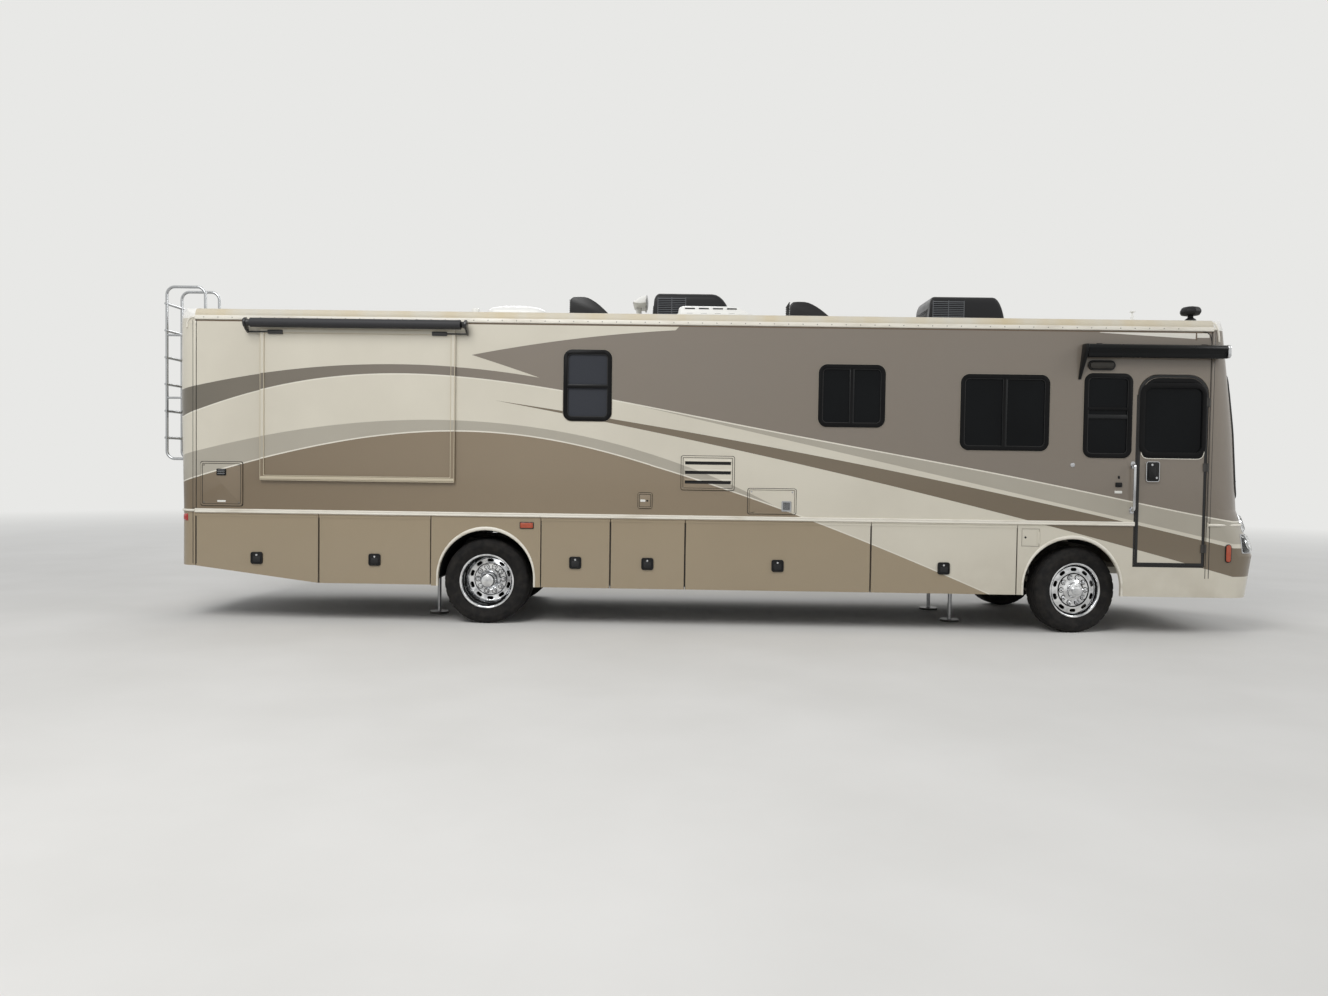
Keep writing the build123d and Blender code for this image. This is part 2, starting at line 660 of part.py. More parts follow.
grab_y = -HALF - GRAB_REACH
grab = bar((GRAB_X, grab_y, GRAB_Z0 - GRAB_R), (GRAB_X, grab_y, GRAB_Z1 + GRAB_R), GRAB_R)
for z in (GRAB_Z0, GRAB_Z1):
    grab += bar((GRAB_X, -HALF, z), (GRAB_X, grab_y, z), GRAB_R)
    foot = panel(GRAB_X - FOOT_HALF, GRAB_X + FOOT_HALF, z - 38, z + 38, 20)
    grab += on_side(RIGHT, foot, HALF + 6, HALF)
trim.append(grab)
save("body_trim", *trim)

arch_panels = []
for side in (RIGHT, LEFT):
    for arch in ARCHES:
        in_front = arch is FRONT_ARCH
        x1 = arch.x1 if in_front else arch.x1 - PANEL_GAP / 2
        sheet = panel(arch.x0 + PANEL_GAP / 2, x1, SKIRT_Z, WALL_BOTTOM_Z) - arch_opening(arch)
        fender = on_side(side, sheet, HALF, HALF - BAY_PANEL)
        if side == RIGHT and in_front:
            fender -= on_side(RIGHT, panel(*FUEL_FLAP), HALF, HALF - FLAP_RECESS)
        arch_panels.append(fender)
save("arch_panels", *arch_panels)

for number, bay in enumerate(RIGHT_BAYS, 1):
    save(f"bay_door_right_{number}", build_bay_door(RIGHT, bay))
for number, bay in enumerate(LEFT_BAYS, 1):
    save(f"bay_door_left_{number}", build_bay_door(LEFT, bay))

# Entry door
door = on_side(RIGHT, door_outline() - panel(*DOOR_GLASS, DOOR_GLASS_R), HALF, HALF - WALL)
handle = panel(DOOR_X0 + 94, DOOR_X0 + 237, 1663, 1881, 25)
door += on_side(RIGHT, handle, HALF + 22, HALF)
DOOR_HINGE_R = 8
DOOR_HINGE_X = DOOR_X1 + PANEL_GAP + 4
DOOR_HINGE_Y = -HALF - DOOR_HINGE_R - SEAT
for z in (900, 1780, 2480):
    foot, head = (DOOR_HINGE_X, DOOR_HINGE_Y, z), (DOOR_HINGE_X, DOOR_HINGE_Y, z + 90)
    door += bar(foot, head, DOOR_HINGE_R)
    door += block(DOOR_X1 - 40, DOOR_X1, DOOR_HINGE_Y, -HALF, z, z + 90)
    door += block(DOOR_X1 - 5, DOOR_HINGE_X, DOOR_HINGE_Y - 3, -HALF - SEAT, z, z + 90)
save("entry_door", door)
glass = panel(
    DOOR_GLASS[0] + SEAT, DOOR_GLASS[1] - SEAT, DOOR_GLASS[2] + SEAT, DOOR_GLASS[3] - SEAT,
    DOOR_GLASS_R,
)
save("entry_door_glass", on_side(RIGHT, glass, HALF - GLASS_DEPTH, HALF - GLASS_DEPTH - GLASS_THICK))

# Small flaps: water heater, hinged at its foot, and fuel, hinged at its front edge
def flap_leaf(x0, x1, z0, z1):
    """A flap's leaf, inside its opening by the running gap."""
    leaf = panel(x0 + FLAP_GAP, x1 - FLAP_GAP, z0 + FLAP_GAP, z1 - FLAP_GAP)
    return on_side(RIGHT, leaf, HALF, HALF - FLAP_THICK)


FLAP_HINGE_Y = -HALF - FLAP_HINGE_R - SEAT
heater_x0, heater_x1 = HEATER_FLAP[0] + 60, HEATER_FLAP[1] - 60
heater_edge_z = HEATER_FLAP[2] + FLAP_GAP
heater_hinge_z = HEATER_FLAP[2] - 2
heater = flap_leaf(*HEATER_FLAP)
heater += bar(
    (heater_x0, FLAP_HINGE_Y, heater_hinge_z), (heater_x1, FLAP_HINGE_Y, heater_hinge_z), FLAP_HINGE_R
)
heater += block(heater_x0, heater_x1, FLAP_HINGE_Y, -HALF, heater_edge_z, heater_edge_z + 20)
heater += block(
    heater_x0, heater_x1, FLAP_HINGE_Y - 1, -HALF - SEAT, heater_hinge_z, heater_edge_z + 5
)
save("heater_door", heater)

fuel_z0, fuel_z1 = FUEL_FLAP[2] + 30, FUEL_FLAP[3] - 30
fuel_edge_x = FUEL_FLAP[1] - FLAP_GAP
fuel_hinge_x = FUEL_FLAP[1] + 2
fuel = flap_leaf(*FUEL_FLAP)
fuel += bar(
    (fuel_hinge_x, FLAP_HINGE_Y, fuel_z0), (fuel_hinge_x, FLAP_HINGE_Y, fuel_z1), FLAP_HINGE_R
)
fuel += block(fuel_edge_x - 20, fuel_edge_x, FLAP_HINGE_Y, -HALF, fuel_z0, fuel_z1)
fuel += block(fuel_edge_x - 5, fuel_hinge_x, FLAP_HINGE_Y - 1, -HALF - SEAT, fuel_z0, fuel_z1)
save("fuel_door", fuel)

# Hatches and the louvred vent that stay shut
hatches = [on_side(RIGHT, panel(*hatch), HALF + HATCH_PROUD, HALF) for hatch in HATCHES]
vent = on_side(RIGHT, panel(*LOUVRE), HALF + LOUVRE_PROUD, HALF)
for number in range(SLOTS):
    foot_z = SLOT_FOOT_Z + number * SLOT_PITCH
    slot = panel(
        LOUVRE.x0 + LOUVRE_MARGIN, LOUVRE.x1 - LOUVRE_MARGIN, foot_z, foot_z + SLOT_HEIGHT, 10
    )
    vent -= on_side(RIGHT, slot, HALF + LOUVRE_PROUD, HALF + LOUVRE_FLOOR)
hatches.append(vent)
save("wall_hatches", *hatches)

# Slide-outs
save("slide_right", build_slide(BED_SLIDE, []))
living_face = HALF + SEAT + SLIDE_PLATE
living_frames = build_frames(LEFT, LIVING_WINDOWS, living_face)
save("slide_left", build_slide(LIVING_SLIDE, LIVING_WINDOWS), *living_frames)
save("slide_left_glass", *build_glass(LEFT, LIVING_WINDOWS, living_face))
save("slide_topper_right", build_topper(BED_SLIDE))
save("slide_topper_left", build_topper(LIVING_SLIDE))

# Entry awning, rolled up in its case, with the leaning cheek at its rear end
awning_x0, awning_x1, awning_z0, awning_z1 = AWNING
case = on_side(RIGHT, panel(*AWNING, 50), HALF + AWNING_PROUD, HALF + AWNING_BACK)
for x in (awning_x0 + 150, awning_x1 - 260):
    lug = panel(x, x + 60, awning_z0 + 30, awning_z1 - 20)
    case += on_side(RIGHT, lug, HALF + 2 * AWNING_BACK, HALF)
cheek_z0 = awning_z0 - CHEEK_DROP
cheek = outline(
    (awning_x0, awning_z1), (awning_x0 + CHEEK_THICK, awning_z1),
    (awning_x0 + CHEEK_THICK - CHEEK_LEAN, cheek_z0), (awning_x0 - CHEEK_LEAN, cheek_z0),
)
cheek_front = outline(
    (-HALF, awning_z1), (-HALF - AWNING_PROUD + 12, awning_z1),
    (-HALF - AWNING_PROUD, awning_z1 - 60), (-HALF - 70, awning_z0 - 90),
    (-HALF - 12, cheek_z0), (-HALF, cheek_z0),
)
case += on_side(RIGHT, cheek, HALF + AWNING_PROUD, HALF) & along(
    cheek_front, awning_x0 - 2 * CHEEK_LEAN, awning_x0 + 2 * CHEEK_THICK
)
save("entry_awning", case)

# Floor, with the step well inside the entry door
WELL_Y = RAIL_Y + 20
floor = block(REAR_SEAM_X, FRONT_SEAM_X + 140, -HALF + WALL, HALF - WALL, FLOOR_UNDER_Z, FLOOR_Z)
well_x0, well_x1 = FRONT_ARCH_X1 + 4, FRONT_SEAM_X - 4
floor -= block(well_x0, well_x1, -HALF, -WELL_Y, 0, FLOOR_Z + 1)
floor += block(well_x0 - 16, well_x0, -HALF + WALL + 1, -WELL_Y, DOOR_Z0 - 20, FLOOR_UNDER_Z)
floor += block(well_x1, well_x1 + 16, -HALF + WALL + 1, -WELL_Y, DOOR_Z0 - 20, FLOOR_UNDER_Z)
floor += block(well_x0 - 16, well_x1 + 16, -WELL_Y, -WELL_Y + 16, DOOR_Z0 - 20, FLOOR_UNDER_Z)
floor += block(well_x0 - 16, well_x1 + 16, -HALF + WALL + 1, -WELL_Y, DOOR_Z0 - 20, DOOR_Z0 - 4)
floor += block(well_x0, well_x1, -800, -WELL_Y, DOOR_Z0 - 20, 965)
save("floor", floor)

# Storage trays beside the chassis rails, and the bulkheads between them
Tray = namedtuple("Tray", "x0 x1 z")
TRAYS = [
    Tray(REAR_SEAM_X, REAR_SEAM_X + 1361 - 12, 620),
    Tray(REAR_SEAM_X + 1361 + 12, REAR_ARCH_X0, 450),
    Tray(REAR_ARCH_X1 + 10, FRONT_ARCH_X0 - 10, 440),
]
TRAY_OUTER_Y = HALF - BAY_PANEL - PANEL_GAP
trays = []
for side in (RIGHT, LEFT):
    for tray in TRAYS:
        section = outline(
            (TRAY_INNER_Y, FLOOR_UNDER_Z),
            (TRAY_INNER_Y, tray.z),
            (TRAY_OUTER_Y, tray.z),
            (TRAY_OUTER_Y, tray.z + TRAY_PLATE),
            (TRAY_INNER_Y + TRAY_PLATE, tray.z + TRAY_PLATE),
            (TRAY_INNER_Y + TRAY_PLATE, FLOOR_UNDER_Z),
        )
        shape = along(section, tray.x0, tray.x1)
        trays.append(shape if side == LEFT else mirror(shape, about=Plane.XZ))
save("storage_trays", *trays)

bulkheads = []
for side, bays in ((RIGHT, RIGHT_BAYS), (LEFT, LEFT_BAYS)):
    for tray in TRAYS:
        seams = {tray.x0 + TRAY_PLATE, tray.x1 - TRAY_PLATE}
        seams |= {bay.x1 for bay in bays if tray.x0 + 100 < bay.x1 < tray.x1 - 100}
        for x in sorted(seams):
            plate = block(
                x - TRAY_PLATE / 2, x + TRAY_PLATE / 2,
                TRAY_INNER_Y + TRAY_PLATE, TRAY_OUTER_Y,
                tray.z + TRAY_PLATE, FLOOR_UNDER_Z,
            )
            bulkheads.append(plate if side == LEFT else mirror(plate, about=Plane.XZ))
save("storage_bulkheads", *bulkheads)

# Chassis rails, crossmembers and floor risers
rail = outline(
    (RAIL_Y, RAIL_Z0),
    (RAIL_Y, RAIL_Z1),
    (RAIL_Y - RAIL_FLANGE, RAIL_Z1),
    (RAIL_Y - RAIL_FLANGE, RAIL_Z1 - RAIL_PLATE),
    (RAIL_Y - RAIL_PLATE, RAIL_Z1 - RAIL_PLATE),
    (RAIL_Y - RAIL_PLATE, RAIL_Z0 + RAIL_PLATE),
    (RAIL_Y - RAIL_FLANGE, RAIL_Z0 + RAIL_PLATE),
    (RAIL_Y - RAIL_FLANGE, RAIL_Z0),
)
CHASSIS_X0 = REAR_SEAM_X - 60
CHASSIS_X1 = FRONT_SEAM_X + 250
CROSSMEMBER_WIDTH = 60
RISERS = 10
RISER_WIDTH = 80
ENGINE_X0, ENGINE_X1 = REAR_SEAM_X + 85, REAR_SEAM_X + 1385
ENGINE_Z0, ENGINE_Z1 = 480, 1090
ENGINE_HALF = 360
left_rail = along(rail, CHASSIS_X0, CHASSIS_X1)
chassis = left_rail + mirror(left_rail, about=Plane.XZ)
crossmembers = (
    CHASSIS_X0 + 5, ENGINE_X1 + 60, REAR_AXLE_X - 560, REAR_AXLE_X + 560, MID_AXLES_X - 810,
    MID_AXLES_X + 890, FRONT_AXLE_X - 560, FRONT_AXLE_X + 560, CHASSIS_X1 - 65,
)
for x in crossmembers:
    chassis += block(
        x, x + CROSSMEMBER_WIDTH, -RAIL_Y + 5, RAIL_Y - 5, RAIL_Z0 + 60, RAIL_Z1 - 60
    )
riser_x0, riser_x1 = REAR_SEAM_X + 185, FRONT_SEAM_X - 215
for number in range(RISERS):
    x = riser_x0 + (riser_x1 - riser_x0) * number / (RISERS - 1)
    for side in (RIGHT, LEFT):
        y0, y1 = sorted((side * (RAIL_Y - 60), side * RAIL_Y))
        chassis += block(x, x + RISER_WIDTH, y0, y1, RAIL_Z1, FLOOR_UNDER_Z)
for x in (ENGINE_X0 + 200, ENGINE_X1 - 280):
    for side in (RIGHT, LEFT):
        y0, y1 = sorted((side * ENGINE_HALF, side * (RAIL_Y - 5)))
        chassis += block(x, x + RISER_WIDTH, y0, y1, RAIL_Z0 + 40, RAIL_Z1 - 60)
save("chassis_frame", chassis)
save("engine_block", block(ENGINE_X0, ENGINE_X1, -ENGINE_HALF, ENGINE_HALF, ENGINE_Z0, ENGINE_Z1))

# Hitch receiver under the tail: a 51 mm square tube with a pin hole
RECEIVER = 51
RECEIVER_WALL = 6
RECEIVER_Z = 540
RECEIVER_DEPTH = 260
PIN_R = 8.1
PIN_SETBACK = 66
outer = RECEIVER / 2 + RECEIVER_WALL
inner = RECEIVER / 2
hitch_x0 = REAR_SEAM_X - 290
hitch_x1 = CHASSIS_X0 + 80
hitch = block(hitch_x0, hitch_x1, -outer, outer, RECEIVER_Z - outer, RECEIVER_Z + outer)
hitch -= block(
    hitch_x0, hitch_x0 + RECEIVER_DEPTH, -inner, inner, RECEIVER_Z - inner, RECEIVER_Z + inner
)
hitch += block(CHASSIS_X0, hitch_x1, -RAIL_Y, RAIL_Y, RECEIVER_Z + outer - 3, RAIL_Z0)
pin_x = hitch_x0 + PIN_SETBACK
hitch -= bar((pin_x, -outer - 1, RECEIVER_Z), (pin_x, outer + 1, RECEIVER_Z), PIN_R)
save("hitch_receiver", hitch)

# Axles with their air springs
BEAM_TOP = TYRE_R + 25
BELLOWS_R = 110
BOSS_R = 46
BOSS_HALF = 50
beam_end = KINGPIN_Y
front_axle = block(
    FRONT_AXLE_X - 45, FRONT_AXLE_X + 45, -beam_end, beam_end, TYRE_R - BOSS_HALF, BEAM_TOP
)
for side in (RIGHT, LEFT):
    king = Pos(FRONT_AXLE_X, side * KINGPIN_Y, TYRE_R)
    front_axle += king * Cylinder(BOSS_R, 2 * BOSS_HALF)
    spring_y = side * (RAIL_Y - 40)
    front_axle += bar(
        (FRONT_AXLE_X, spring_y, BEAM_TOP - 5), (FRONT_AXLE_X, spring_y, RAIL_Z0), BELLOWS_R
    )
for side in (RIGHT, LEFT):
    king = Pos(FRONT_AXLE_X, side * KINGPIN_Y, TYRE_R)
    front_axle -= king * Cylinder(KINGPIN_R + TOUCH, 4 * BOSS_HALF)
save("front_axle", front_axle)

SPINDLE_END = WHEEL_Y + 60
HOUSING_R = 85
rear_axle = bar(
    (REAR_AXLE_X, -INNER_DUAL_Y + 190, TYRE_R), (REAR_AXLE_X, INNER_DUAL_Y - 190, TYRE_R), HOUSING_R
)
rear_axle += Pos(REAR_AXLE_X, 0, TYRE_R) * Sphere(190)
rear_axle += bar(
    (REAR_AXLE_X, -SPINDLE_END, TYRE_R), (REAR_AXLE_X, SPINDLE_END, TYRE_R), SPINDLE_R
)
shaft_z = TYRE_R + 75
flange_x = ENGINE_X1 + SEAT + 40
rear_axle += bar((ENGINE_X1 + SEAT, 0, shaft_z), (flange_x, 0, shaft_z), 62)
rear_axle += bar((flange_x - 10, 0, shaft_z), (REAR_AXLE_X - 80, 0, TYRE_R), 48)
for side in (RIGHT, LEFT):
    spring_y = side * (RAIL_Y - 40)
    rear_axle += bar((REAR_AXLE_X, spring_y, TYRE_R), (REAR_AXLE_X, spring_y, RAIL_Z0), BELLOWS_R)
save("rear_axle", rear_axle)

# Steering knuckles, turned with the parked steering, and the tie rod between their arms
LUG = 28
LUG_GAP = 1
BALL_R = 16
ARM_Z = TYRE_R - 75


def build_knuckle(side):
    """A forked knuckle about its kingpin, with its wheel spindle and steering arm."""
    fork_low, fork_high = -BOSS_HALF - LUG_GAP - LUG, BOSS_HALF + LUG_GAP + LUG
    knuckle = Cylinder(KINGPIN_R, fork_high - fork_low)
    for level in (fork_low + LUG / 2, fork_high - LUG / 2):
        knuckle += Pos(0, 0, level) * Cylinder(BOSS_R + 2, LUG)
        y0, y1 = sorted((0, side * 78))
        knuckle += block(-BOSS_R, BOSS_R, y0, y1, level - LUG / 2, level + LUG / 2)
    y0, y1 = sorted((side * 54, side * 78))
    knuckle += block(-BOSS_R, BOSS_R, y0, y1, fork_low, fork_high)
    knuckle += bar((0, side * 60, 0), (0, side * (KINGPIN_INSET + 60), 0), SPINDLE_R)
    knuckle += block(-STEER_ARM, -BOSS_R + 10, -18, 18, fork_low, fork_low + LUG)
    eye = Pos(-STEER_ARM, 0, fork_low + LUG / 2)
    knuckle += eye * Cylinder(BALL_R + 12, LUG)
    knuckle -= eye * Cylinder(BALL_R - 4 + TOUCH, 4 * LUG)
    return knuckle


def steered(side, shape):
    """Turn a shape about its kingpin by the parked steering angle and put it in place."""
    return Pos(FRONT_AXLE_X, side * KINGPIN_Y, TYRE_R) * Rot(0, 0, PARKED_STEER) * shape


save("knuckle_right", steered(RIGHT, build_knuckle(RIGHT)))
save("knuckle_left", steered(LEFT, build_knuckle(LEFT)))

turn = radians(PARKED_STEER)
rod_x = FRONT_AXLE_X - STEER_ARM * cos(turn)
rod_shift = -STEER_ARM * sin(turn)
fork_low_z = TYRE_R - BOSS_HALF - LUG_GAP - LUG
rod_z = fork_low_z - 22
rod = bar((rod_x, -KINGPIN_Y + rod_shift, rod_z), (rod_x, KINGPIN_Y + rod_shift, rod_z), BALL_R)
for side in (RIGHT, LEFT):
    ball_y = side * KINGPIN_Y + rod_shift
    rod += bar((rod_x, ball_y, rod_z), (rod_x, ball_y, fork_low_z + LUG), BALL_R - 4)
    rod += bar((rod_x, ball_y, rod_z - 18), (rod_x, ball_y, fork_low_z - LUG_GAP), BALL_R + 6)
save("tie_rod", rod)

# Wheels
for name, side in (("right", RIGHT), ("left", LEFT)):
    offset = side * KINGPIN_INSET
    save(f"front_tyre_{name}", steered(side, build_tyre(offset)))
    save(f"front_rim_{name}", steered(side, build_rim(side, offset, 62, 118)))
    axle = Pos(REAR_AXLE_X, 0, TYRE_R)
    duals = [axle * build_tyre(side * y) for y in (WHEEL_Y, INNER_DUAL_Y)]
    save(f"rear_tyres_{name}", *duals)
    mate = DUAL_PITCH / 2 - 8
    outer_rim = axle * build_rim(side, side * WHEEL_Y, -mate, 90)
    inner_rim = axle * build_rim(side, side * INNER_DUAL_Y, mate, 0)
    save(f"rear_rims_{name}", outer_rim, inner_rim)

# Levelling jacks, down on the ground
JACK_R = 22
JACK_SLEEVE_R = 26
jacks = []
for x in (REAR_AXLE_X - 690, FRONT_AXLE_X - 1120):
    for side in (RIGHT, LEFT):
        y = side * (RAIL_Y + SEAT + JACK_SLEEVE_R)
        leg = bar((x, y, 0), (x, y, 24), 110) + bar((x, y, 20), (x, y, RAIL_Z0), JACK_R)
        leg += bar((x, y, 420), (x, y, RAIL_Z1), JACK_SLEEVE_R)
        jacks.append(leg)
save("levelling_jacks", *jacks)

# Roof equipment, each seated on the crowned roof
def on_roof(shape):
    """Trim a shape to sit on the roof skin."""
    return shape - body_blank(REAR_SEAM_X - 500, FRONT_SEAM_X + 500, 0, -SEAT, -SEAT)


def air_conditioner(unit):
    """A rooftop unit: a shroud with a steep tail and a curved nose, slatted on both sides."""
    x0, x1, top = unit.x0, unit.x1, SHROUD_TOP_Z
    nose = [
        (x1 - unit.nose * reach, top - fall)
        for reach, fall in ((1, 0), (0.62, 35), (0.28, 125), (0.08, 240))
    ]
    side_view = outline(
        (x0, UNDER_ROOF_Z), (x0 + 20, top - 90), (x0 + 42, top - 32), (x0 + 90, top), *nose,
        (x1, UNDER_ROOF_Z),
    )
    front_view = outline(
        (-SHROUD_HALF, UNDER_ROOF_Z), (-SHROUD_HALF, top - SHROUD_EASE),
        (-SHROUD_HALF + SHROUD_EASE, top), (SHROUD_HALF - SHROUD_EASE, top),
        (SHROUD_HALF, top - SHROUD_EASE), (SHROUD_HALF, UNDER_ROOF_Z),
    )
    shroud = on_side(RIGHT, side_view, SHROUD_HALF, -SHROUD_HALF) & along(front_view, x0, x1)
    for number in range(SLATS):
        foot_z = SLAT_FOOT_Z + number * SLAT_PITCH
        gap = panel(unit.slat_x0, unit.slat_x1, foot_z, foot_z + SLAT_HEIGHT)
        for side in (RIGHT, LEFT):
            shroud -= on_side(side, gap, SHROUD_HALF, SHROUD_HALF - SLAT_DEPTH)
    return on_roof(shroud)


def roof_dome(fitting):
    """A low moulded cover with round corners and an eased top edge."""
    cover = block(fitting.x0, fitting.x1, fitting.y0, fitting.y1, UNDER_ROOF_Z, fitting.top)
    cover = fillet(cover.edges().filter_by(Axis.Z), fitting.corner)
    return on_roof(chamfer(cover.edges().group_by(Axis.Z)[-1], fitting.ease))


def fan_cover(cover):
    """A fan's rain cover: upright at the rear, curving down in front."""
    x0, x1, top = cover.x0, cover.x1, cover.top
    length = x1 - x0 - 170
    fall = top - 3490
    front = [(x0 + 170 + length * t, top - fall * t ** 1.55) for t in (0.25, 0.5, 0.75, 1)]
    side_view = outline(
        (x0, UNDER_ROOF_Z), (x0, top - 40), (x0 + 40, top), (x0 + 170, top), *front,
        (x1, UNDER_ROOF_Z),
    )
    return on_roof(on_side(RIGHT, side_view, -cover.y0, -cover.y1))


save("roof_air_conditioners", *[air_conditioner(unit) for unit in AIR_CONDITIONERS])

fittings = [roof_dome(fitting) for fitting in ROOF_DOMES]
fittings += [fan_cover(cover) for cover in FAN_COVERS]
mast = on_roof(block(
    AERIAL_X - 30, AERIAL_X + 30, AERIAL_Y - 30, AERIAL_Y + 30, UNDER_ROOF_Z, 3720
))
wing = outline(
    (AERIAL_X - 67, 3700), (AERIAL_X + 34, 3772), (AERIAL_X + 111, 3788), (AERIAL_X + 104, 3690),
    (AERIAL_X + 18, 3677), (AERIAL_X - 50, 3684),
)
fittings.append(mast + on_side(RIGHT, wing, 300 - AERIAL_Y, -300 - AERIAL_Y))
post = on_roof(block(
    DISH_X - 30, DISH_X + 30, DISH_Y - 30, DISH_Y + 30, UNDER_ROOF_Z, DISH_Z
))
drum = Pos(DISH_X, DISH_Y, DISH_Z) * extrude(RegularPolygon(DISH_R, 8), 50, both=True)
fittings.append(post + drum)
save("roof_fittings", *fittings)

# Ladder on the rear cap, its rails curling over onto the roof
ladder = None
for y in LADDER_Y:
    rail_path = [
        (REAR_SEAM_X - 240, y, LADDER_FOOT_Z), (LADDER_X, y, LADDER_FOOT_Z),
        (LADDER_X, y, LADDER_TOP_Z), (REAR_SEAM_X - 40, y, LADDER_TOP_Z),
        (REAR_SEAM_X - 40, y, UNDER_ROOF_Z),
    ]
    path = FilletPolyline(*rail_path, radius=90)
    tube = sweep((path ^ 0) * Circle(LADDER_R), path=path)
    ladder = tube if ladder is None else ladder + tube
for z in RUNG_Z:
    ladder += bar((LADDER_X, LADDER_Y[0] - 30, z), (LADDER_X, LADDER_Y[1] + 30, z), RUNG_R)
for z in STAY_Z:
    for y in LADDER_Y:
        ladder += bar((LADDER_X, y, z), (REAR_SEAM_X - 100, y, z), STAY_R)
ladder -= cap_blank(REAR_CAP, -SEAT)
ladder = max(ladder.solids(), key=lambda solid: solid.volume)
save("rear_ladder", ladder)

# Lamps: on the front cap and walls, then on the rear cap
def cap_lamp(cap, lamp):
    """A lamp's lens on a cap's skin."""
    x0, x1 = sorted((cap.seam + cap.way * 60, cap.seam + cap.way * 900))
    return cap_skin(cap, block(x0, x1, lamp.y0, lamp.y1, lamp.z0, lamp.z1), lamp.proud)


def clearance_lamps(cap):
    """The row of five lamps along the top of a cap."""
    level = CLEARANCE_LAMP
    return [
        cap_lamp(cap, CapLamp(y + level.y0, y + level.y1, level.z0, level.z1, level.proud))
        for y in CLEARANCE_LAMP_Y
    ]


front_lamps = clearance_lamps(FRONT_CAP)
for lamp in HEAD_LAMPS:
    shape = cap_lamp(FRONT_CAP, lamp)
    front_lamps += [shape, mirror(shape, about=Plane.XZ)]
for side in (RIGHT, LEFT):
    front_lamps.append(on_side(side, panel(*FRONT_MARKER, 20), HALF + MARKER_PROUD, HALF))
front_lamps.append(on_side(RIGHT, panel(*PORCH_LIGHT, 52), HALF + PORCH_LIGHT_PROUD, HALF))
save("front_lamps", *front_lamps)

rear_lamps = clearance_lamps(REAR_CAP)
tail = cap_lamp(REAR_CAP, TAIL_LAMP)
marker = cap_skin(REAR_CAP, block(*REAR_MARKER), MARKER_PROUD)
for shape in (tail, marker):
    rear_lamps += [shape, mirror(shape, about=Plane.XZ)]
for side in (RIGHT, LEFT):
    rear_lamps.append(on_side(side, panel(*SIDE_LAMP, 8), HALF + MARKER_PROUD, HALF))
save("rear_lamps", *rear_lamps)

# Dashboard with the steering wheel, and the two cab seats
dash = outline(
    (FRONT_SEAM_X + 20, FLOOR_Z), (FRONT_SEAM_X + 20, 1650), (FRONT_SEAM_X + 300, 1600),
    (FRONT_SEAM_X + 300, 1300), (FRONT_SEAM_X + 130, FLOOR_Z),
)
dashboard = extrude(Plane((0, 850, 0), (1, 0, 0), (0, -1, 0)) * dash, 1700)
column_end = (FRONT_SEAM_X - 120, 620, 1800)
dashboard += bar((FRONT_SEAM_X + 80, 620, 1560), column_end, 30)
wheel_plane = Plane(column_end, z_dir=(-200, 0, 240))
dashboard += wheel_plane.location * Torus(225, 16)
dashboard += wheel_plane.location * Box(440, 40, 16)
save("dashboard", dashboard)

SEATS = ((FRONT_SEAM_X - 935, 640), (FRONT_SEAM_X - 1355, -640))
seats = []
for x, y in SEATS:
    base = block(x - 200, x + 200, y - 200, y + 200, FLOOR_Z, FLOOR_Z + 280)
    cushion = block(x - 260, x + 260, y - 260, y + 260, FLOOR_Z + 280, FLOOR_Z + 440)
    back = outline(
        (x - 260, FLOOR_Z + 440), (x - 360, FLOOR_Z + 1130), (x - 240, FLOOR_Z + 1130),
        (x - 110, FLOOR_Z + 440),
    )
    seat = extrude(Plane((0, y + 240, 0), (1, 0, 0), (0, -1, 0)) * back, 480)
    seats.append(base + cushion + seat)
save("cab_seats", *seats)
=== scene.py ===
import json
from math import atan2, ceil, cos, pi, radians, sin, sqrt

import bmesh
import bpy
from mathutils import Matrix, Vector
from mathutils.bvhtree import BVHTree


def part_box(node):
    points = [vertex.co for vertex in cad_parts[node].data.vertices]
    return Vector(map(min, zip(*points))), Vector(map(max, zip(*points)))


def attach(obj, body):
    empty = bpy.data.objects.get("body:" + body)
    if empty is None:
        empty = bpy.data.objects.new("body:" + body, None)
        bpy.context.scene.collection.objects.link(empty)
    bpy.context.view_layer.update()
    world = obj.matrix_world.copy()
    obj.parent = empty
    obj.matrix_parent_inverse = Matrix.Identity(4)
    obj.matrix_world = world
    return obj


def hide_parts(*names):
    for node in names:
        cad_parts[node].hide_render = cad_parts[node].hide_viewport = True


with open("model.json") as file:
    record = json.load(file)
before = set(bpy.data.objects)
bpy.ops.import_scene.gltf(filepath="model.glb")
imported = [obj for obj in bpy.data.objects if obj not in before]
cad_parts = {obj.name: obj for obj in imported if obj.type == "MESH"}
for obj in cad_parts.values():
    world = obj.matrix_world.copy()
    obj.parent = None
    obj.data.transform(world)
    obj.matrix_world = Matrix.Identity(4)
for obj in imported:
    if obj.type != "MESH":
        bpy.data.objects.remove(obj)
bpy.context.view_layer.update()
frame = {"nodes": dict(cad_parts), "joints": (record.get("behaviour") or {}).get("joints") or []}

nodes = frame["nodes"]


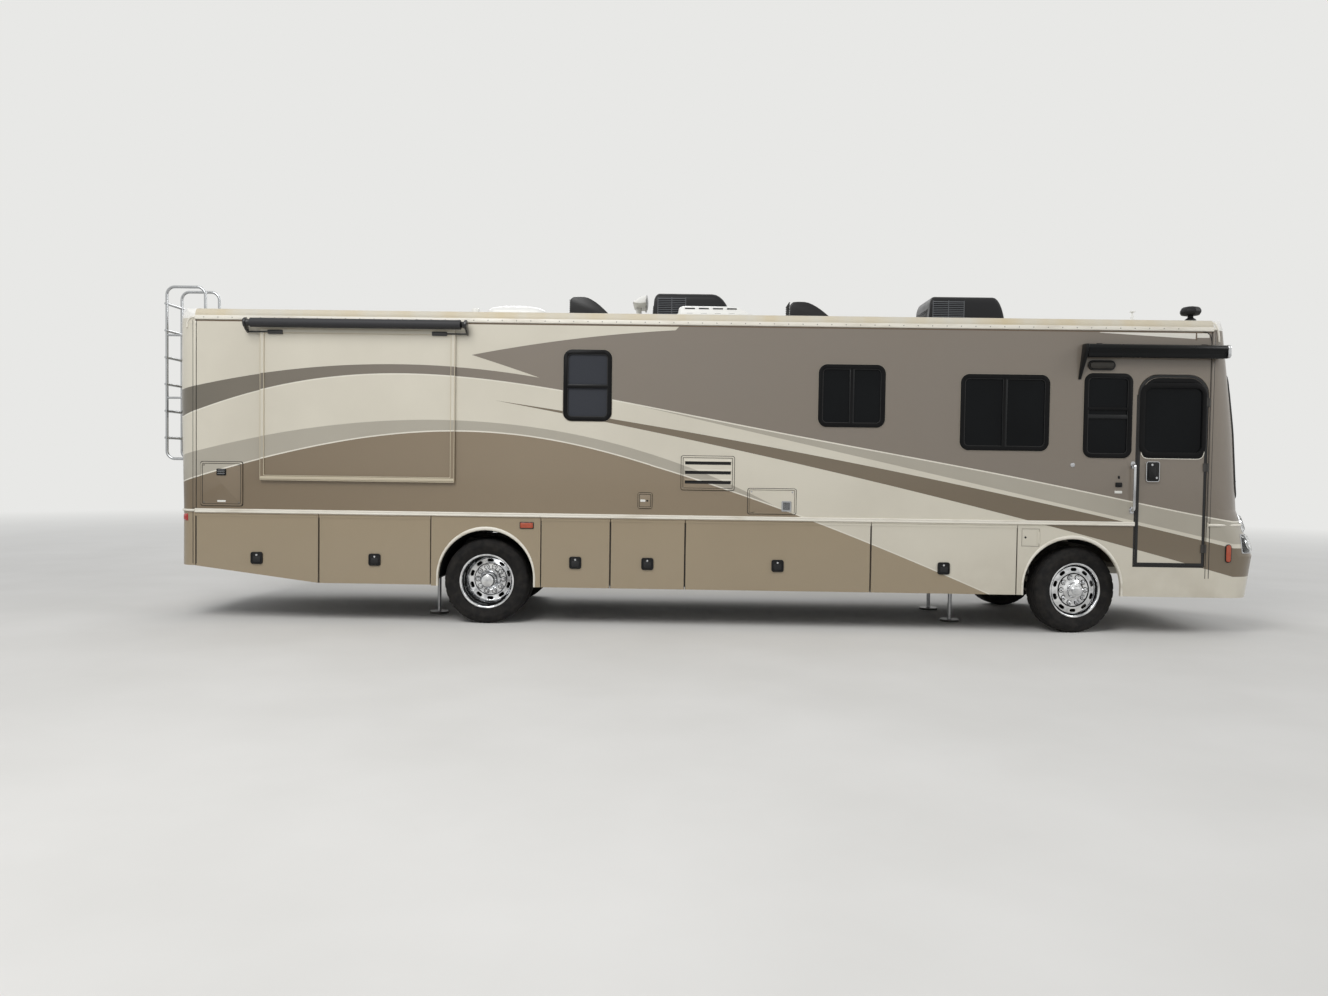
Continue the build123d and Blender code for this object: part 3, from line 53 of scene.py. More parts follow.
# Chassis rails, axles and knuckles
# Welded and forged steel under thick black paint, dulled by road dust that settles
# on the low faces. They carry the axles, the engine and the floor.
class Shade:
    """A shader socket. Sums on it add Math nodes, and add() puts in any other node."""

    def __init__(self, tree, socket=None):
        self.tree = tree
        self.socket = socket

    def add(self, kind, sockets, output=0, **settings):
        """Put in a node: its settings first, then the values or links of its sockets."""
        node = self.tree.nodes.new("ShaderNode" + kind)
        for name, value in settings.items():
            setattr(node, name, value)
        self.feed(node, sockets)
        return Shade(self.tree, node.outputs[output])

    def feed(self, node, sockets):
        """Set a node's sockets, by value or by link."""
        for name, value in sockets.items():
            if isinstance(value, Shade):
                self.tree.links.new(value.socket, node.inputs[name])
            else:
                node.inputs[name].default_value = value

    def sum(self, operation, first, second=0.0):
        return self.add("Math", {0: first, 1: second}, operation=operation)

    def __add__(self, other):
        return self.sum("ADD", self, other)

    def __radd__(self, other):
        return self.sum("ADD", other, self)

    def __sub__(self, other):
        return self.sum("SUBTRACT", self, other)

    def __rsub__(self, other):
        return self.sum("SUBTRACT", other, self)

    def __mul__(self, other):
        return self.sum("MULTIPLY", self, other)

    def __rmul__(self, other):
        return self.sum("MULTIPLY", other, self)

    def __lt__(self, other):
        return self.sum("LESS_THAN", self, other)

    def __gt__(self, other):
        return self.sum("GREATER_THAN", self, other)

    def __and__(self, other):
        return self.sum("MINIMUM", self, other)

    def __or__(self, other):
        return self.sum("MAXIMUM", self, other)

    def mix(self, low, high):
        """A colour between two, with this value as the factor."""
        return self.add("Mix", {0: self, 6: low, 7: high}, 2, data_type="RGBA")

    def mix_value(self, low, high):
        """A number between two, with this value as the factor."""
        return self * high + (1 - self) * low

    def between(self, start, end):
        """This value's place between two others, from 0 to 1."""
        return self.add("MapRange", {"Value": self, "From Min": start, "From Max": end})

    def noise(self, scale, detail=3.0, stretch=None):
        """Uneven patches over the surface, scale to the metre."""
        place = self
        if stretch:
            place = self.add("Mapping", {"Vector": self, "Scale": stretch})
        return self.add("TexNoise", {"Vector": place, "Scale": scale, "Detail": detail})

    def part(self, axis):
        """One coordinate, in metres."""
        return self.add("SeparateXYZ", {"Vector": self}, "XYZ".index(axis))

    def rise(self, low, high):
        """From 0 at one height to 1 at another."""
        return self.part("Z").between(low, high)

    def relief(self, strength, depth):
        """A bump of this height, in metres at full strength."""
        return self.add("Bump", {"Height": self, "Strength": strength, "Distance": depth})


def srgb(red, green, blue):
    """A colour read off as it looks, 0 to 255, in the shader's own linear values."""
    def linear(value):
        value /= 255
        return value / 12.92 if value <= 0.04045 else ((value + 0.055) / 1.055) ** 2.4
    return (linear(red), linear(green), linear(blue), 1.0)


def scaled(colour, factor):
    """A lighter or darker tone of a colour."""
    return tuple(min(1.0, value * factor) for value in colour[:3]) + (1.0,)


def finish(name):
    """A new material and the place of each point on its piece."""
    material = bpy.data.materials.new(name)
    material.use_nodes = True
    return material, Shade(material.node_tree).add("TexCoord", {}, "Object")


def surface(material, sockets):
    """Set the main shader's sockets."""
    tree = material.node_tree
    Shade(tree).feed(tree.nodes["Principled BSDF"], sockets)
    return material


ROAD_DUST = srgb(150, 136, 114)


def worn(name, colour, roughness, metal=0.0, grain=60.0, relief=0.0004, spread=0.18, dust=0.0,
         **sockets):
    """A finish with uneven colour and sheen, a fine grain, and dust that thickens low down."""
    material, place = finish(name)
    patches = place.noise(2.3, 4.0)
    fine = place.noise(grain, 5.0)
    base = (patches * 0.55 + fine * 0.45).mix(
        scaled(colour, 1 - spread), scaled(colour, 1 + spread)
    )
    if dust:
        low = place.rise(1.1, 0) * patches.between(0.3, 0.7) * dust
        base = low.mix(base, ROAD_DUST)
    return surface(material, {
        "Base Color": base,
        "Roughness": (patches - 0.5) * 0.25 + roughness,
        "Metallic": metal,
        "Normal": fine.relief(0.5, relief),
        **{key.replace("_", " "): value for key, value in sockets.items()},
    })


def clad(material, *names):
    """Give CAD nodes a finish."""
    for name in names:
        for slot in nodes[name].material_slots:
            slot.material = material


black_steel = worn("chassis_black", srgb(38, 37, 36), 0.55, grain=90, dust=0.8)
clad(black_steel, "chassis_frame", "hitch_receiver", "front_axle", "rear_axle",
     "knuckle_right", "knuckle_left", "tie_rod")
clad(worn("engine_iron", srgb(58, 60, 60), 0.6, metal=0.4, grain=35, relief=0.0015, dust=0.9),
     "engine_block")


# Wheels
# Steel-belted radial tyres, moulded with four zigzag grooves and slotted shoulders, on
# pressed wheels under polished covers: ten hand holes, ten lug nuts and a hub cap each.
def piece(name, body, slot, material, build, bevel=0.0, steps=2, crease=35):
    """Build a mesh, round its edges if asked, and let it ride on a body."""
    bm = bmesh.new()
    build(bm)
    bmesh.ops.remove_doubles(bm, verts=bm.verts, dist=0.00002)
    bmesh.ops.recalc_face_normals(bm, faces=bm.faces)
    made = placed(name, bm)
    made.data.materials.append(material)
    if bevel:
        round_edges(made, bevel, steps)
    return seat(made, body, slot, crease)


def as_piece(slot, material, body="coach", **how):
    """Turn a build function into a piece of the same name, which the name then stands for."""
    return lambda build: piece(build.__name__, body, slot, material, build, **how)


def placed(name, bm):
    """An object of its own for a finished bmesh."""
    made = bpy.data.objects.new(name, bpy.data.meshes.new(name))
    bm.to_mesh(made.data)
    bm.free()
    bpy.context.scene.collection.objects.link(made)
    return made


def round_edges(made, width, steps):
    """Round every edge that turns by more than 28 degrees."""
    rounding = made.modifiers.new("edges", "BEVEL")
    rounding.width = width
    rounding.segments = steps
    rounding.limit_method = "ANGLE"
    rounding.angle_limit = radians(28)
    settle(made)


def settle(made):
    """Turn an object's modifiers into plain mesh."""
    seen = made.evaluated_get(bpy.context.evaluated_depsgraph_get())
    mesh = bpy.data.meshes.new_from_object(seen)
    made.modifiers.clear()
    made.data = mesh


def seat(made, body, slot, crease=35):
    """Shade a piece smooth up to its creases, and let it ride."""
    made.data.shade_smooth()
    made.data.set_sharp_from_angle(angle=radians(crease))
    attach(made, body)
    return made


def at(*spot):
    return Matrix.Translation(spot)


def spin(degrees, axis="Z"):
    return Matrix.Rotation(radians(degrees), 4, axis)


def skin(bm, rings, closed=False):
    """A skin through rings of as many points each, capped or joined up at its ends."""
    rows = [[bm.verts.new(point) for point in ring] for ring in rings]
    for row, ahead in zip(rows, rows[1:] + rows[:1] if closed else rows[1:]):
        for k in range(len(row)):
            m = (k + 1) % len(row)
            bm.faces.new([row[k], ahead[k], ahead[m], row[m]])
    if not closed:
        bm.faces.new(rows[0])
        bm.faces.new(rows[-1])


def revolved(profile, stand, segments, number):
    """A profile of (radius, reach) points at one step round its stand's Y axis."""
    angle = 2 * pi * number / segments
    return [stand @ Vector((r * cos(angle), reach, r * sin(angle))) for r, reach in profile]


def turned(bm, profile, stand, segments=96):
    """Revolve a closed profile that stays clear of the axis."""
    skin(bm, [revolved(profile, stand, segments, number) for number in range(segments)],
         closed=True)


def dome(bm, profile, stand, segments=48):
    """Revolve a profile that starts and ends on the axis, as a closed cap or stud."""
    tip, foot = (bm.verts.new(stand @ Vector((0, profile[end][1], 0))) for end in (0, -1))
    rings = [[bm.verts.new(point) for point in revolved(profile[1:-1], stand, segments, number)]
             for number in range(segments)]
    for ring, ahead in zip(rings, rings[1:] + rings[:1]):
        bm.faces.new([tip, ahead[0], ring[0]])
        bm.faces.new([foot, ring[-1], ahead[-1]])
        for k in range(len(ring) - 1):
            bm.faces.new([ring[k], ahead[k], ahead[k + 1], ring[k + 1]])


def repeat_tree(name, circle):
    """A tree that sets a shape along a line, or round a circle, and gives it its finish."""
    tree = bpy.data.node_groups.new(name, "GeometryNodeTree")
    face = tree.interface
    face.new_socket("Geometry", in_out="OUTPUT", socket_type="NodeSocketGeometry")
    face.new_socket("Geometry", in_out="INPUT", socket_type="NodeSocketGeometry")
    for label, kind in (
        ("Count", "Int"), ("Start", "Vector"), ("Step", "Vector"), ("Radius", "Float"),
        ("Shape", "Object"), ("Finish", "Material"),
    ):
        face.new_socket(label, in_out="INPUT", socket_type="NodeSocket" + kind)
    inputs = tree.nodes.new("NodeGroupInput").outputs

    def node(kind, **links):
        made = tree.nodes.new(kind)
        for label, source in links.items():
            tree.links.new(source, made.inputs[label.replace("_", " ")])
        return made

    if circle:
        points = node("GeometryNodeMeshCircle", Vertices=inputs["Count"], Radius=inputs["Radius"])
    else:
        points = node("GeometryNodeMeshLine", Count=inputs["Count"],
                      Start_Location=inputs["Start"], Offset=inputs["Step"])
    shape = node("GeometryNodeObjectInfo", Object=inputs["Shape"])
    set_out = node("GeometryNodeInstanceOnPoints", Points=points.outputs["Mesh"],
                   Instance=shape.outputs["Geometry"])
    if circle:
        where = node("GeometryNodeInputPosition")
        turn = node("FunctionNodeAlignRotationToVector", Vector=where.outputs["Position"])
        turn.axis = "X"
        tree.links.new(turn.outputs["Rotation"], set_out.inputs["Rotation"])
    real = node("GeometryNodeRealizeInstances", Geometry=set_out.outputs["Instances"])
    dressed = node("GeometryNodeSetMaterial", Geometry=real.outputs["Geometry"],
                   Material=inputs["Finish"])
    node("NodeGroupOutput", Geometry=dressed.outputs["Geometry"])
    return tree


row_tree = repeat_tree("set_in_a_row", circle=False)
ring_tree = repeat_tree("set_in_a_ring", circle=True)


def repeated(bm, tree, build, material, stand=Matrix(), **sizes):
    """Add a repeated shape to a mesh, from a tree and its named sizes."""
    pattern = bmesh.new()
    build(pattern)
    bmesh.ops.recalc_face_normals(pattern, faces=pattern.faces)
    shape = placed("pattern", pattern)
    carrier = placed("carrier", bmesh.new())
    modifier = carrier.modifiers.new("repeat", "NODES")
    modifier.node_group = tree
    sizes.update(Shape=shape, Finish=material)
    for item in tree.interface.items_tree:
        if item.in_out == "INPUT" and item.name in sizes:
            modifier[item.identifier] = sizes[item.name]
    settle(carrier)
    carrier.data.transform(stand)
    bm.from_mesh(carrier.data)
    for spare in (carrier, shape):
        bpy.data.objects.remove(spare)


def block(bm, low, high):
    """A box between two corners."""
    low, high = Vector(low), Vector(high)
    for vert in bmesh.ops.create_cube(bm, size=1.0)["verts"]:
        vert.co = low + Vector(c * (v + 0.5) for c, v in zip(high - low, vert.co))


rubber, place = finish("tyre_rubber")
low_dust = place.noise(14.0, 5.0).between(0.4, 0.75) * 0.225
surface(rubber, {
    "Base Color": low_dust.mix(srgb(22, 21, 21), srgb(74, 69, 62)),
    "Roughness": place.noise(9.0, 4.0) * 0.2 + 0.72,
    "Specular IOR Level": 0.25,
    "Normal": place.noise(260, 4.0).relief(0.35, 0.0006),
})
chrome, place = finish("polished_cover")
cloudy = place.noise(11.0, 5.0).between(0.3, 0.6)
surface(chrome, {
    "Base Color": cloudy.mix(srgb(170, 171, 174), srgb(240, 241, 242)),
    "Metallic": 1.0,
    "Roughness": place.noise(30.0, 5.0).between(0.35, 0.8) * 0.12 + 0.08,
    "Normal": place.noise(45.0, 2.0).relief(0.06, 0.0003),
})
# Near black: the brake drums, darkened as painted shade inside the wheels, and the painted shade
# round the nuts and in the rims' steps.
drum_and_shade_black = worn("drum_and_shade_black", srgb(13, 13, 13), 0.85, Specular_IOR_Level=0.1)

TYRE_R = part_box("rear_tyres_right")[1].z / 2
TYRE_HALF = 0.1275
TREAD_HALF = 0.0935
TREAD_STEPS = 180
GROOVES = (-0.066, -0.023, 0.023, 0.066)
GROOVE_HALF, GROOVE_DEEP, ZIGZAG = 0.0055, 0.013, 0.0035
SHOULDER_FALL, SHOULDER_SLOT, SLOTTED_FROM = 0.0012, 0.007, 0.44
SIDEWALL = [
    (0.2875, 0.0965), (0.3035, 0.0975), (0.309, 0.1035), (0.318, 0.1055), (0.322, 0.109),
    (0.33, 0.1105), (0.334, 0.113), (0.352, 0.1195), (0.372, 0.1245), (0.376, 0.1265),
    (0.392, 0.1272), (0.398, 0.1272), (0.402, 0.1255), (0.42, 0.1245), (0.436, 0.1215),
    (0.44, 0.119), (0.452, 0.113), (0.459, 0.105),
]


def tyre_section(number):
    """A tyre's section at one of its steps round: grooves weave, shoulders are slotted."""
    weave = ZIGZAG if number % 4 < 2 else -ZIGZAG
    slotted = SHOULDER_SLOT if number % 6 == 0 else 0.0
    flank = [(r - (slotted if r > SLOTTED_FROM else 0), a) for r, a in SIDEWALL]
    shoulder = TYRE_R - SHOULDER_FALL - slotted
    points = flank + [(shoulder, TREAD_HALF)]
    for middle in reversed(GROOVES):
        for shift, deep in ((GROOVE_HALF, 0), (GROOVE_HALF - 0.002, GROOVE_DEEP),
                            (-GROOVE_HALF + 0.002, GROOVE_DEEP), (-GROOVE_HALF, 0)):
            points.append((TYRE_R - deep, middle + shift + weave))
    points.append((shoulder, -TREAD_HALF))
    return points + [(r, -a) for r, a in reversed(flank)]


def tyres(bm, *wheels):
    for wheel in wheels:
        skin(bm, [revolved(tyre_section(number), wheel, TREAD_STEPS, number)
                  for number in range(TREAD_STEPS)], closed=True)


LUG_RING, LUG_COUNT = 0.143, 10
HAND_HOLES = 10
DISC_HALF = 0.007


def rim_shell(bm, wheel, dish, hand_hole_at):
    """The rolled barrel and dished disc of a wheel, as one turned shell."""
    root = 0.6 * dish
    outer = [
        (0.2855, -0.0975), (0.2855, 0.0975), (0.2985, 0.0982), (0.3, 0.101), (0.2985, 0.1055),
        (0.292, 0.107), (0.284, 0.1055), (0.2785, 0.1), (0.2755, 0.088),
    ]
    if dish < 0:
        barrel = [(0.272, 0.06), (0.266, 0.03), (0.262, -0.02), (0.258, root + 0.035),
                  (0.248, root + 0.014)]
    else:
        barrel = [(0.27, root + 0.04), (0.262, root + 0.024), (0.25, root + 0.014)]
    face = [
        (hand_hole_at + 0.03, dish * 0.86 + 0.012), (hand_hole_at, dish * 0.93 + 0.011),
        (hand_hole_at - 0.034, dish + 0.01), (0.168, dish + 0.0085), (0.152, dish + 0.0075),
        (0.0505, dish + 0.007), (0.0505, dish - 0.007),
    ]
    back = [
        (0.152, dish - 0.007), (hand_hole_at, dish * 0.93 - 0.006), (0.252, root - 0.008),
        (0.272, root - 0.03 if dish > 0 else root - 0.004), (0.2755, -0.088), (0.2785, -0.1),
        (0.292, -0.107), (0.2985, -0.1055), (0.3, -0.101), (0.2985, -0.0982),
    ]
    turned(bm, outer + barrel + face + back, wheel, 120)


def pierce(made, cutters):
    """Cut closed shapes out of a finished piece."""
    bm = bmesh.new()
    cutters(bm)
    bmesh.ops.recalc_face_normals(bm, faces=bm.faces)
    tool = placed("cutter", bm)
    cut = made.modifiers.new("cut", "BOOLEAN")
    cut.object = tool
    cut.operation = "DIFFERENCE"
    cut.solver = "EXACT"
    settle(made)
    bpy.data.objects.remove(tool)


def round_box(x0, x1, z0, z1, radius, steps=6):
    """A rectangle's outline with round corners, in order round."""
    points = []
    for cx, cz, start in ((x1 - radius, z1 - radius, 0), (x0 + radius, z1 - radius, 90),
                          (x0 + radius, z0 + radius, 180), (x1 - radius, z0 + radius, 270)):
        for number in range(steps + 1):
            angle = radians(start + 90 * number / steps)
            points.append((cx + radius * cos(angle), cz + radius * sin(angle)))
    return points


def plate(bm, outline, place, low, high, hole=None):
    """A flat outline given thickness, with a hole of as many points if asked."""
    loops = []
    for points in (outline, hole) if hole else (outline,):
        loops.append([[bm.verts.new(place(u, v, w)) for u, v in points] for w in (low, high)])
    around = [(k, (k + 1) % len(outline)) for k in range(len(outline))]
    for bottom, top in loops:
        for k, m in around:
            bm.faces.new([bottom[k], bottom[m], top[m], top[k]])
    for level in (0, 1):
        outer = loops[0][level]
        if hole:
            inner = loops[1][level]
            for k, m in around:
                bm.faces.new([outer[k], outer[m], inner[m], inner[k]])
        else:
            bm.faces.new(outer)


def wheel_place(node, side, turn=0.0, middle=None):
    """Where a wheel is: its reach along +Y, outwards."""
    low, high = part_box(node)
    centre = (low + high) / 2
    if middle is not None:
        centre.y = middle
    return at(*centre) @ Matrix.Rotation(turn, 4, "Z") @ spin(180 if side < 0 else 0)


def hand_hole_cutters(bm, wheel, radius_at, dish):
    """Ten rounded slots through the disc."""
    for number in range(HAND_HOLES):
        turn = wheel @ spin(360 * (number + 0.5) / HAND_HOLES, "Y")
        slot = round_box(radius_at - 0.0185, radius_at + 0.0185, -0.035, 0.035, 0.018)
        plate(bm, slot, lambda u, v, w: turn @ Vector((u, w, v)), dish - 0.09, dish + 0.09)


def ring_of(bm, wheel, reach, count, radius, material, *profiles):
    """Small turned shapes, each on its number of sides, in a ring on a wheel's face."""
    def shape(bm):
        for sides, profile in profiles:
            dome(bm, profile, spin(90, "X"), sides)

    repeated(bm, ring_tree, shape, material, wheel @ at(0, reach, 0) @ spin(-90, "X"),
             Count=count, Radius=radius)


def wheel_dressing(bm, wheel, dish, hub_profile):
    """Lug nuts under domed covers on their washers, the hub cap, and the valve stem."""
    ring_of(bm, wheel, dish + DISC_HALF, LUG_COUNT, LUG_RING, chrome,
            (12, [(0, 0.036), (0.01, 0.0345), (0.0145, 0.028), (0.0165, 0.016), (0.0175, 0),
                  (0, 0)]),
            (20, [(0, 0.006), (0.023, 0.006), (0.0245, 0), (0, 0)]))
    dome(bm, hub_profile, wheel, 64)
    dome(bm, [(0, dish + 0.075), (0.005, dish + 0.075), (0.005, dish - 0.004), (0, dish - 0.004)],
         wheel @ spin(18, "Y") @ at(0.222, 0, 0), 10)


def drum_face(bm, wheel, reach):
    """The brake drum's face, seen through the hand holes, painted near black as the shade inside
    the wheel.
    """
    turned(bm, [(0.096, reach - 0.008), (0.243, reach - 0.008), (0.243, reach), (0.096, reach)],
           wheel, 72)


def nut_seats(bm, wheel, dish, steps):
    """Painted shade: dark rings round the foot of each nut, in the disc's groove and in the
    barrel's steps.
    """
    ring_of(bm, wheel, dish + DISC_HALF, LUG_COUNT, LUG_RING, drum_and_shade_black,
            (20, [(0, 0.0022), (0.03, 0.0022), (0.031, 0), (0, 0)]))
    turned(bm, [(0.174, dish + 0.007), (0.187, dish + 0.007), (0.187, dish + 0.0115),
                (0.174, dish + 0.0115)], wheel)
    for r, reach, fall, lean in steps:
        turned(bm, [(r - 0.0015, reach), (r + 0.002, reach), (r + 0.002 - lean, reach - fall),
                    (r - 0.0015 - lean, reach - fall)], wheel)


steer_axis = next(j for j in frame["joints"] if j["child"] == "front_wheel_right")["axis"]
PARKED_TURN = atan2(-steer_axis[0], steer_axis[1])
FRONT_DISH, FRONT_HOLES_AT = 0.062, 0.225
FRONT_STEPS = ((0.269, 0.086, 0.022, 0.004),)
FRONT_HUB = [
    (0, 0.146), (0.03, 0.1455), (0.046, 0.142), (0.05, 0.137), (0.0505, 0.122), (0.066, 0.119),
    (0.082, 0.116), (0.086, 0.11), (0.088, 0.09), (0.104, 0.082), (0.118, 0.076), (0.118, 0.069),
    (0, 0.069),
]
REAR_DISH, REAR_HOLES_AT = 0.142, 0.212
REAR_STEPS = ((0.2705, 0.07, 0.024, 0.0046), (0.264, 0.014, 0.016, 0.0014),
              (0.2604, -0.02, 0.022, 0.003))
REAR_HUB = [
    (0, 0.086), (0.04, 0.084), (0.066, 0.074), (0.078, 0.058), (0.082, 0.03), (0.083, -0.09),
    (0.1, -0.11), (0.118, -0.122), (0.119, -0.134), (0, -0.134),
]
for name, side in (("right", -1), ("left", 1)):
    spot = wheel_place(f"front_tyre_{name}", side, PARKED_TURN)
    body = f"front_wheel_{name}"
    tyre = piece(f"front_tyre_tread_{name}", body, "tyre", rubber,
                 lambda bm: tyres(bm, spot), crease=40)
    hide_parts(f"front_tyre_{name}")
    rim = piece(f"front_wheel_shell_{name}", body, "bright_rim", chrome,
                lambda bm: rim_shell(bm, spot, FRONT_DISH, FRONT_HOLES_AT))
    pierce(rim, lambda bm: hand_hole_cutters(bm, spot, FRONT_HOLES_AT, 0.055))
    seat(rim, body, "bright_rim")
    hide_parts(f"front_rim_{name}")

    def front_dressing(bm):
        wheel_dressing(bm, spot, FRONT_DISH, FRONT_HUB)
        ring_of(bm, spot, 0.117, 8, 0.068, chrome,
                (8, [(0, 0.01), (0.007, 0.009), (0.008, 0), (0, 0)]))

    piece(f"front_hub_and_nuts_{name}", body, "bright_rim", chrome, front_dressing, crease=30)
    piece(f"front_nut_seats_{name}", body, "black_steel", drum_and_shade_black,
          lambda bm: nut_seats(bm, spot, FRONT_DISH, FRONT_STEPS))
    piece(f"front_drum_face_{name}", body, "black_steel", drum_and_shade_black,
          lambda bm: drum_face(bm, spot, 0.02))

    body = f"rear_wheels_{name}"
    near, far = sorted(abs(corner.y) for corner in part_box(f"rear_tyres_{name}"))
    outer, inner = (wheel_place(f"rear_tyres_{name}", side, 0.0, side * middle)
                    for middle in (far - TYRE_HALF, near + TYRE_HALF))
    treads = piece(f"rear_tyre_treads_{name}", body, "tyre", rubber,
                   lambda bm: tyres(bm, outer, inner), crease=40)
    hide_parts(f"rear_tyres_{name}")

    def twin_shells(bm):
        rim_shell(bm, outer, -REAR_DISH, REAR_HOLES_AT)
        rim_shell(bm, inner, REAR_DISH, REAR_HOLES_AT)

    rims = piece(f"rear_wheel_shells_{name}", body, "bright_rim", chrome, twin_shells)
    pierce(rims, lambda bm: hand_hole_cutters(bm, outer, REAR_HOLES_AT, -0.13))
    seat(rims, body, "bright_rim")
    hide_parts(f"rear_rims_{name}")
    piece(f"rear_hub_and_nuts_{name}", body, "bright_rim", chrome,
          lambda bm: wheel_dressing(bm, outer, -REAR_DISH, REAR_HUB), crease=30)
    piece(f"rear_nut_seats_{name}", body, "black_steel", drum_and_shade_black,
          lambda bm: nut_seats(bm, outer, -REAR_DISH, REAR_STEPS))
    piece(f"rear_drum_face_{name}", body, "black_steel", drum_and_shade_black,
          lambda bm: drum_face(bm, inner, 0.09))

# Wheel-well liners
# Black moulded liners arch over each tyre from the wheel opening in to the frame rail,
# and stop spray and daylight.
ARCHES = ((-2.39, 0.51, 0.521), (3.992, 0.505, 0.525))
liner_black = worn("liner_black", srgb(17, 17, 17), 0.9, grain=50, spread=0.3,
                   Specular_IOR_Level=0.1)


def sideways(u, v, w):
    """A side view in x and z, drawn out across the coach."""
    return Vector((u, w, v))


@as_piece("black_steel", liner_black)
def wheel_well_liners(bm):
    """A half round over each rear wheel; flat-ended in front, where the tyres turn."""
    wall_back = -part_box("right_wall")[0].y - 0.046
    for (x, z, radius), first in zip(ARCHES, (0, 58)):
        arch = []
        for r, way in ((radius - 0.005, 1), (radius - 0.011, -1)):
            angles = [radians(angle) for angle in range(first, 181 - first, 4)]
            run = [(x + r * cos(a), z + r * sin(a)) for a in angles]
            if first:
                run = [(x + 0.59, z + r - 0.087)] + run + [(x - 0.59, z + r - 0.087)]
            arch += run[::way]
        for side in (-1, 1):
            plate(bm, arch, sideways, side * 0.53, side * wall_back)


# Floor and storage trays
# Plywood floor with grey-brown carpet above, and rolled galvanised trays hung beside
# the rails with their bulkheads, lined in grey felt.
clad(worn("floor_carpet", srgb(104, 94, 80), 0.95, grain=420, relief=0.002, spread=0.3), "floor")
clad(worn("tray_lining", srgb(98, 98, 96), 0.85, grain=300, relief=0.0012, dust=0.4),
     "storage_trays", "storage_bulkheads")

# Body walls, end caps, doors and slide-out fronts
# Gel-coated fibreglass panels, masked and sprayed in cream, dark taupe, brown, greige and
# tan sweeps that cross every door and seam, all under one clear coat. Heights of the
# painted edges follow polynomials in x, highest power first.
CREAM = srgb(208, 202, 186)
TAUPE = srgb(122, 113, 102)
# A darker taupe for the painted shade towards the rear.
TAUPE_SHADED = srgb(104, 98, 86)
BROWN = srgb(110, 98, 80)
GREIGE = srgb(168, 162, 148)
TAN = srgb(134, 119, 97)
# A darker tan for the painted shade towards the rear.
TAN_SHADED = srgb(116, 101, 80)
SKIRT_TAN = srgb(152, 137, 112)
PIN_WHITE = srgb(222, 217, 203)
CAP_WHITE = srgb(236, 234, 228)
# Dark brown for the gap line behind the cap's white corner, and for the painted shadow under each
# gutter.
GAP_AND_SHADOW_BROWN = srgb(96, 78, 58)
HINGE_BLACK = srgb(20, 20, 20)
CREAM_WHITE = srgb(226, 222, 211)
BROW_X, BROW_FOOT, BROW_SLOPE = 4.22, 3.262, 0.055
CORNER_PATCH = (5.258, 5.396, 3.219)
CORNER_LINE = (5.246, 5.262, 3.19)
HINGE_STRIP = (5.35, 5.43, 0.9)
# Painted shadow: the heights of the dark line under each gutter.
GUTTER_SHADOW_LINE = (3.268, 3.287)
CAP_TOP = 3.3
LINING = srgb(196, 188, 172)
PIN_WIDTH = 0.014
WALL_FACE = -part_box("right_wall")[0].y
REAR_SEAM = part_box("right_wall")[0].x
FRONT_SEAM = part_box("right_wall")[1].x
BELT_TOP = 1.226
UPPER_SWEEP_TOP = (-0.05213, -0.3504, 2.23444)
UPPER_SWEEP_FOOT = (0.00001, 0.00001, -0.00089, 0.00266, 0.00185, -0.18478, 2.28762)
TAUPE_TOP = (-0.03158, 0.04091, 3.24861)
TAUPE_TIP = (-0.02483, -0.42924, 1.99994)
TAUPE_START = -2.563
GREIGE_FOOT = (-0.00023, -0.21717, 2.24956)
BROWN_TOP = (-0.00612, -0.16493, 2.09915)
BROWN_FOOT = (-0.00633, -0.20283, 2.01281)
ARCH_TOP = (-0.00189, -0.07477, -0.38928, 1.68002)
ARCH_REAR = (0.00025, 0.00506, 0.03295, 0.01315, -0.31391, 1.58894)
ARCH_FRONT = (0.00143, -0.0248, -0.31436, 1.59383)


def sweep_line(x, powers):
    """Height of a painted edge at x."""
    line = powers[0]
    for value in powers[1:]:
        line = line * x + value
    return line


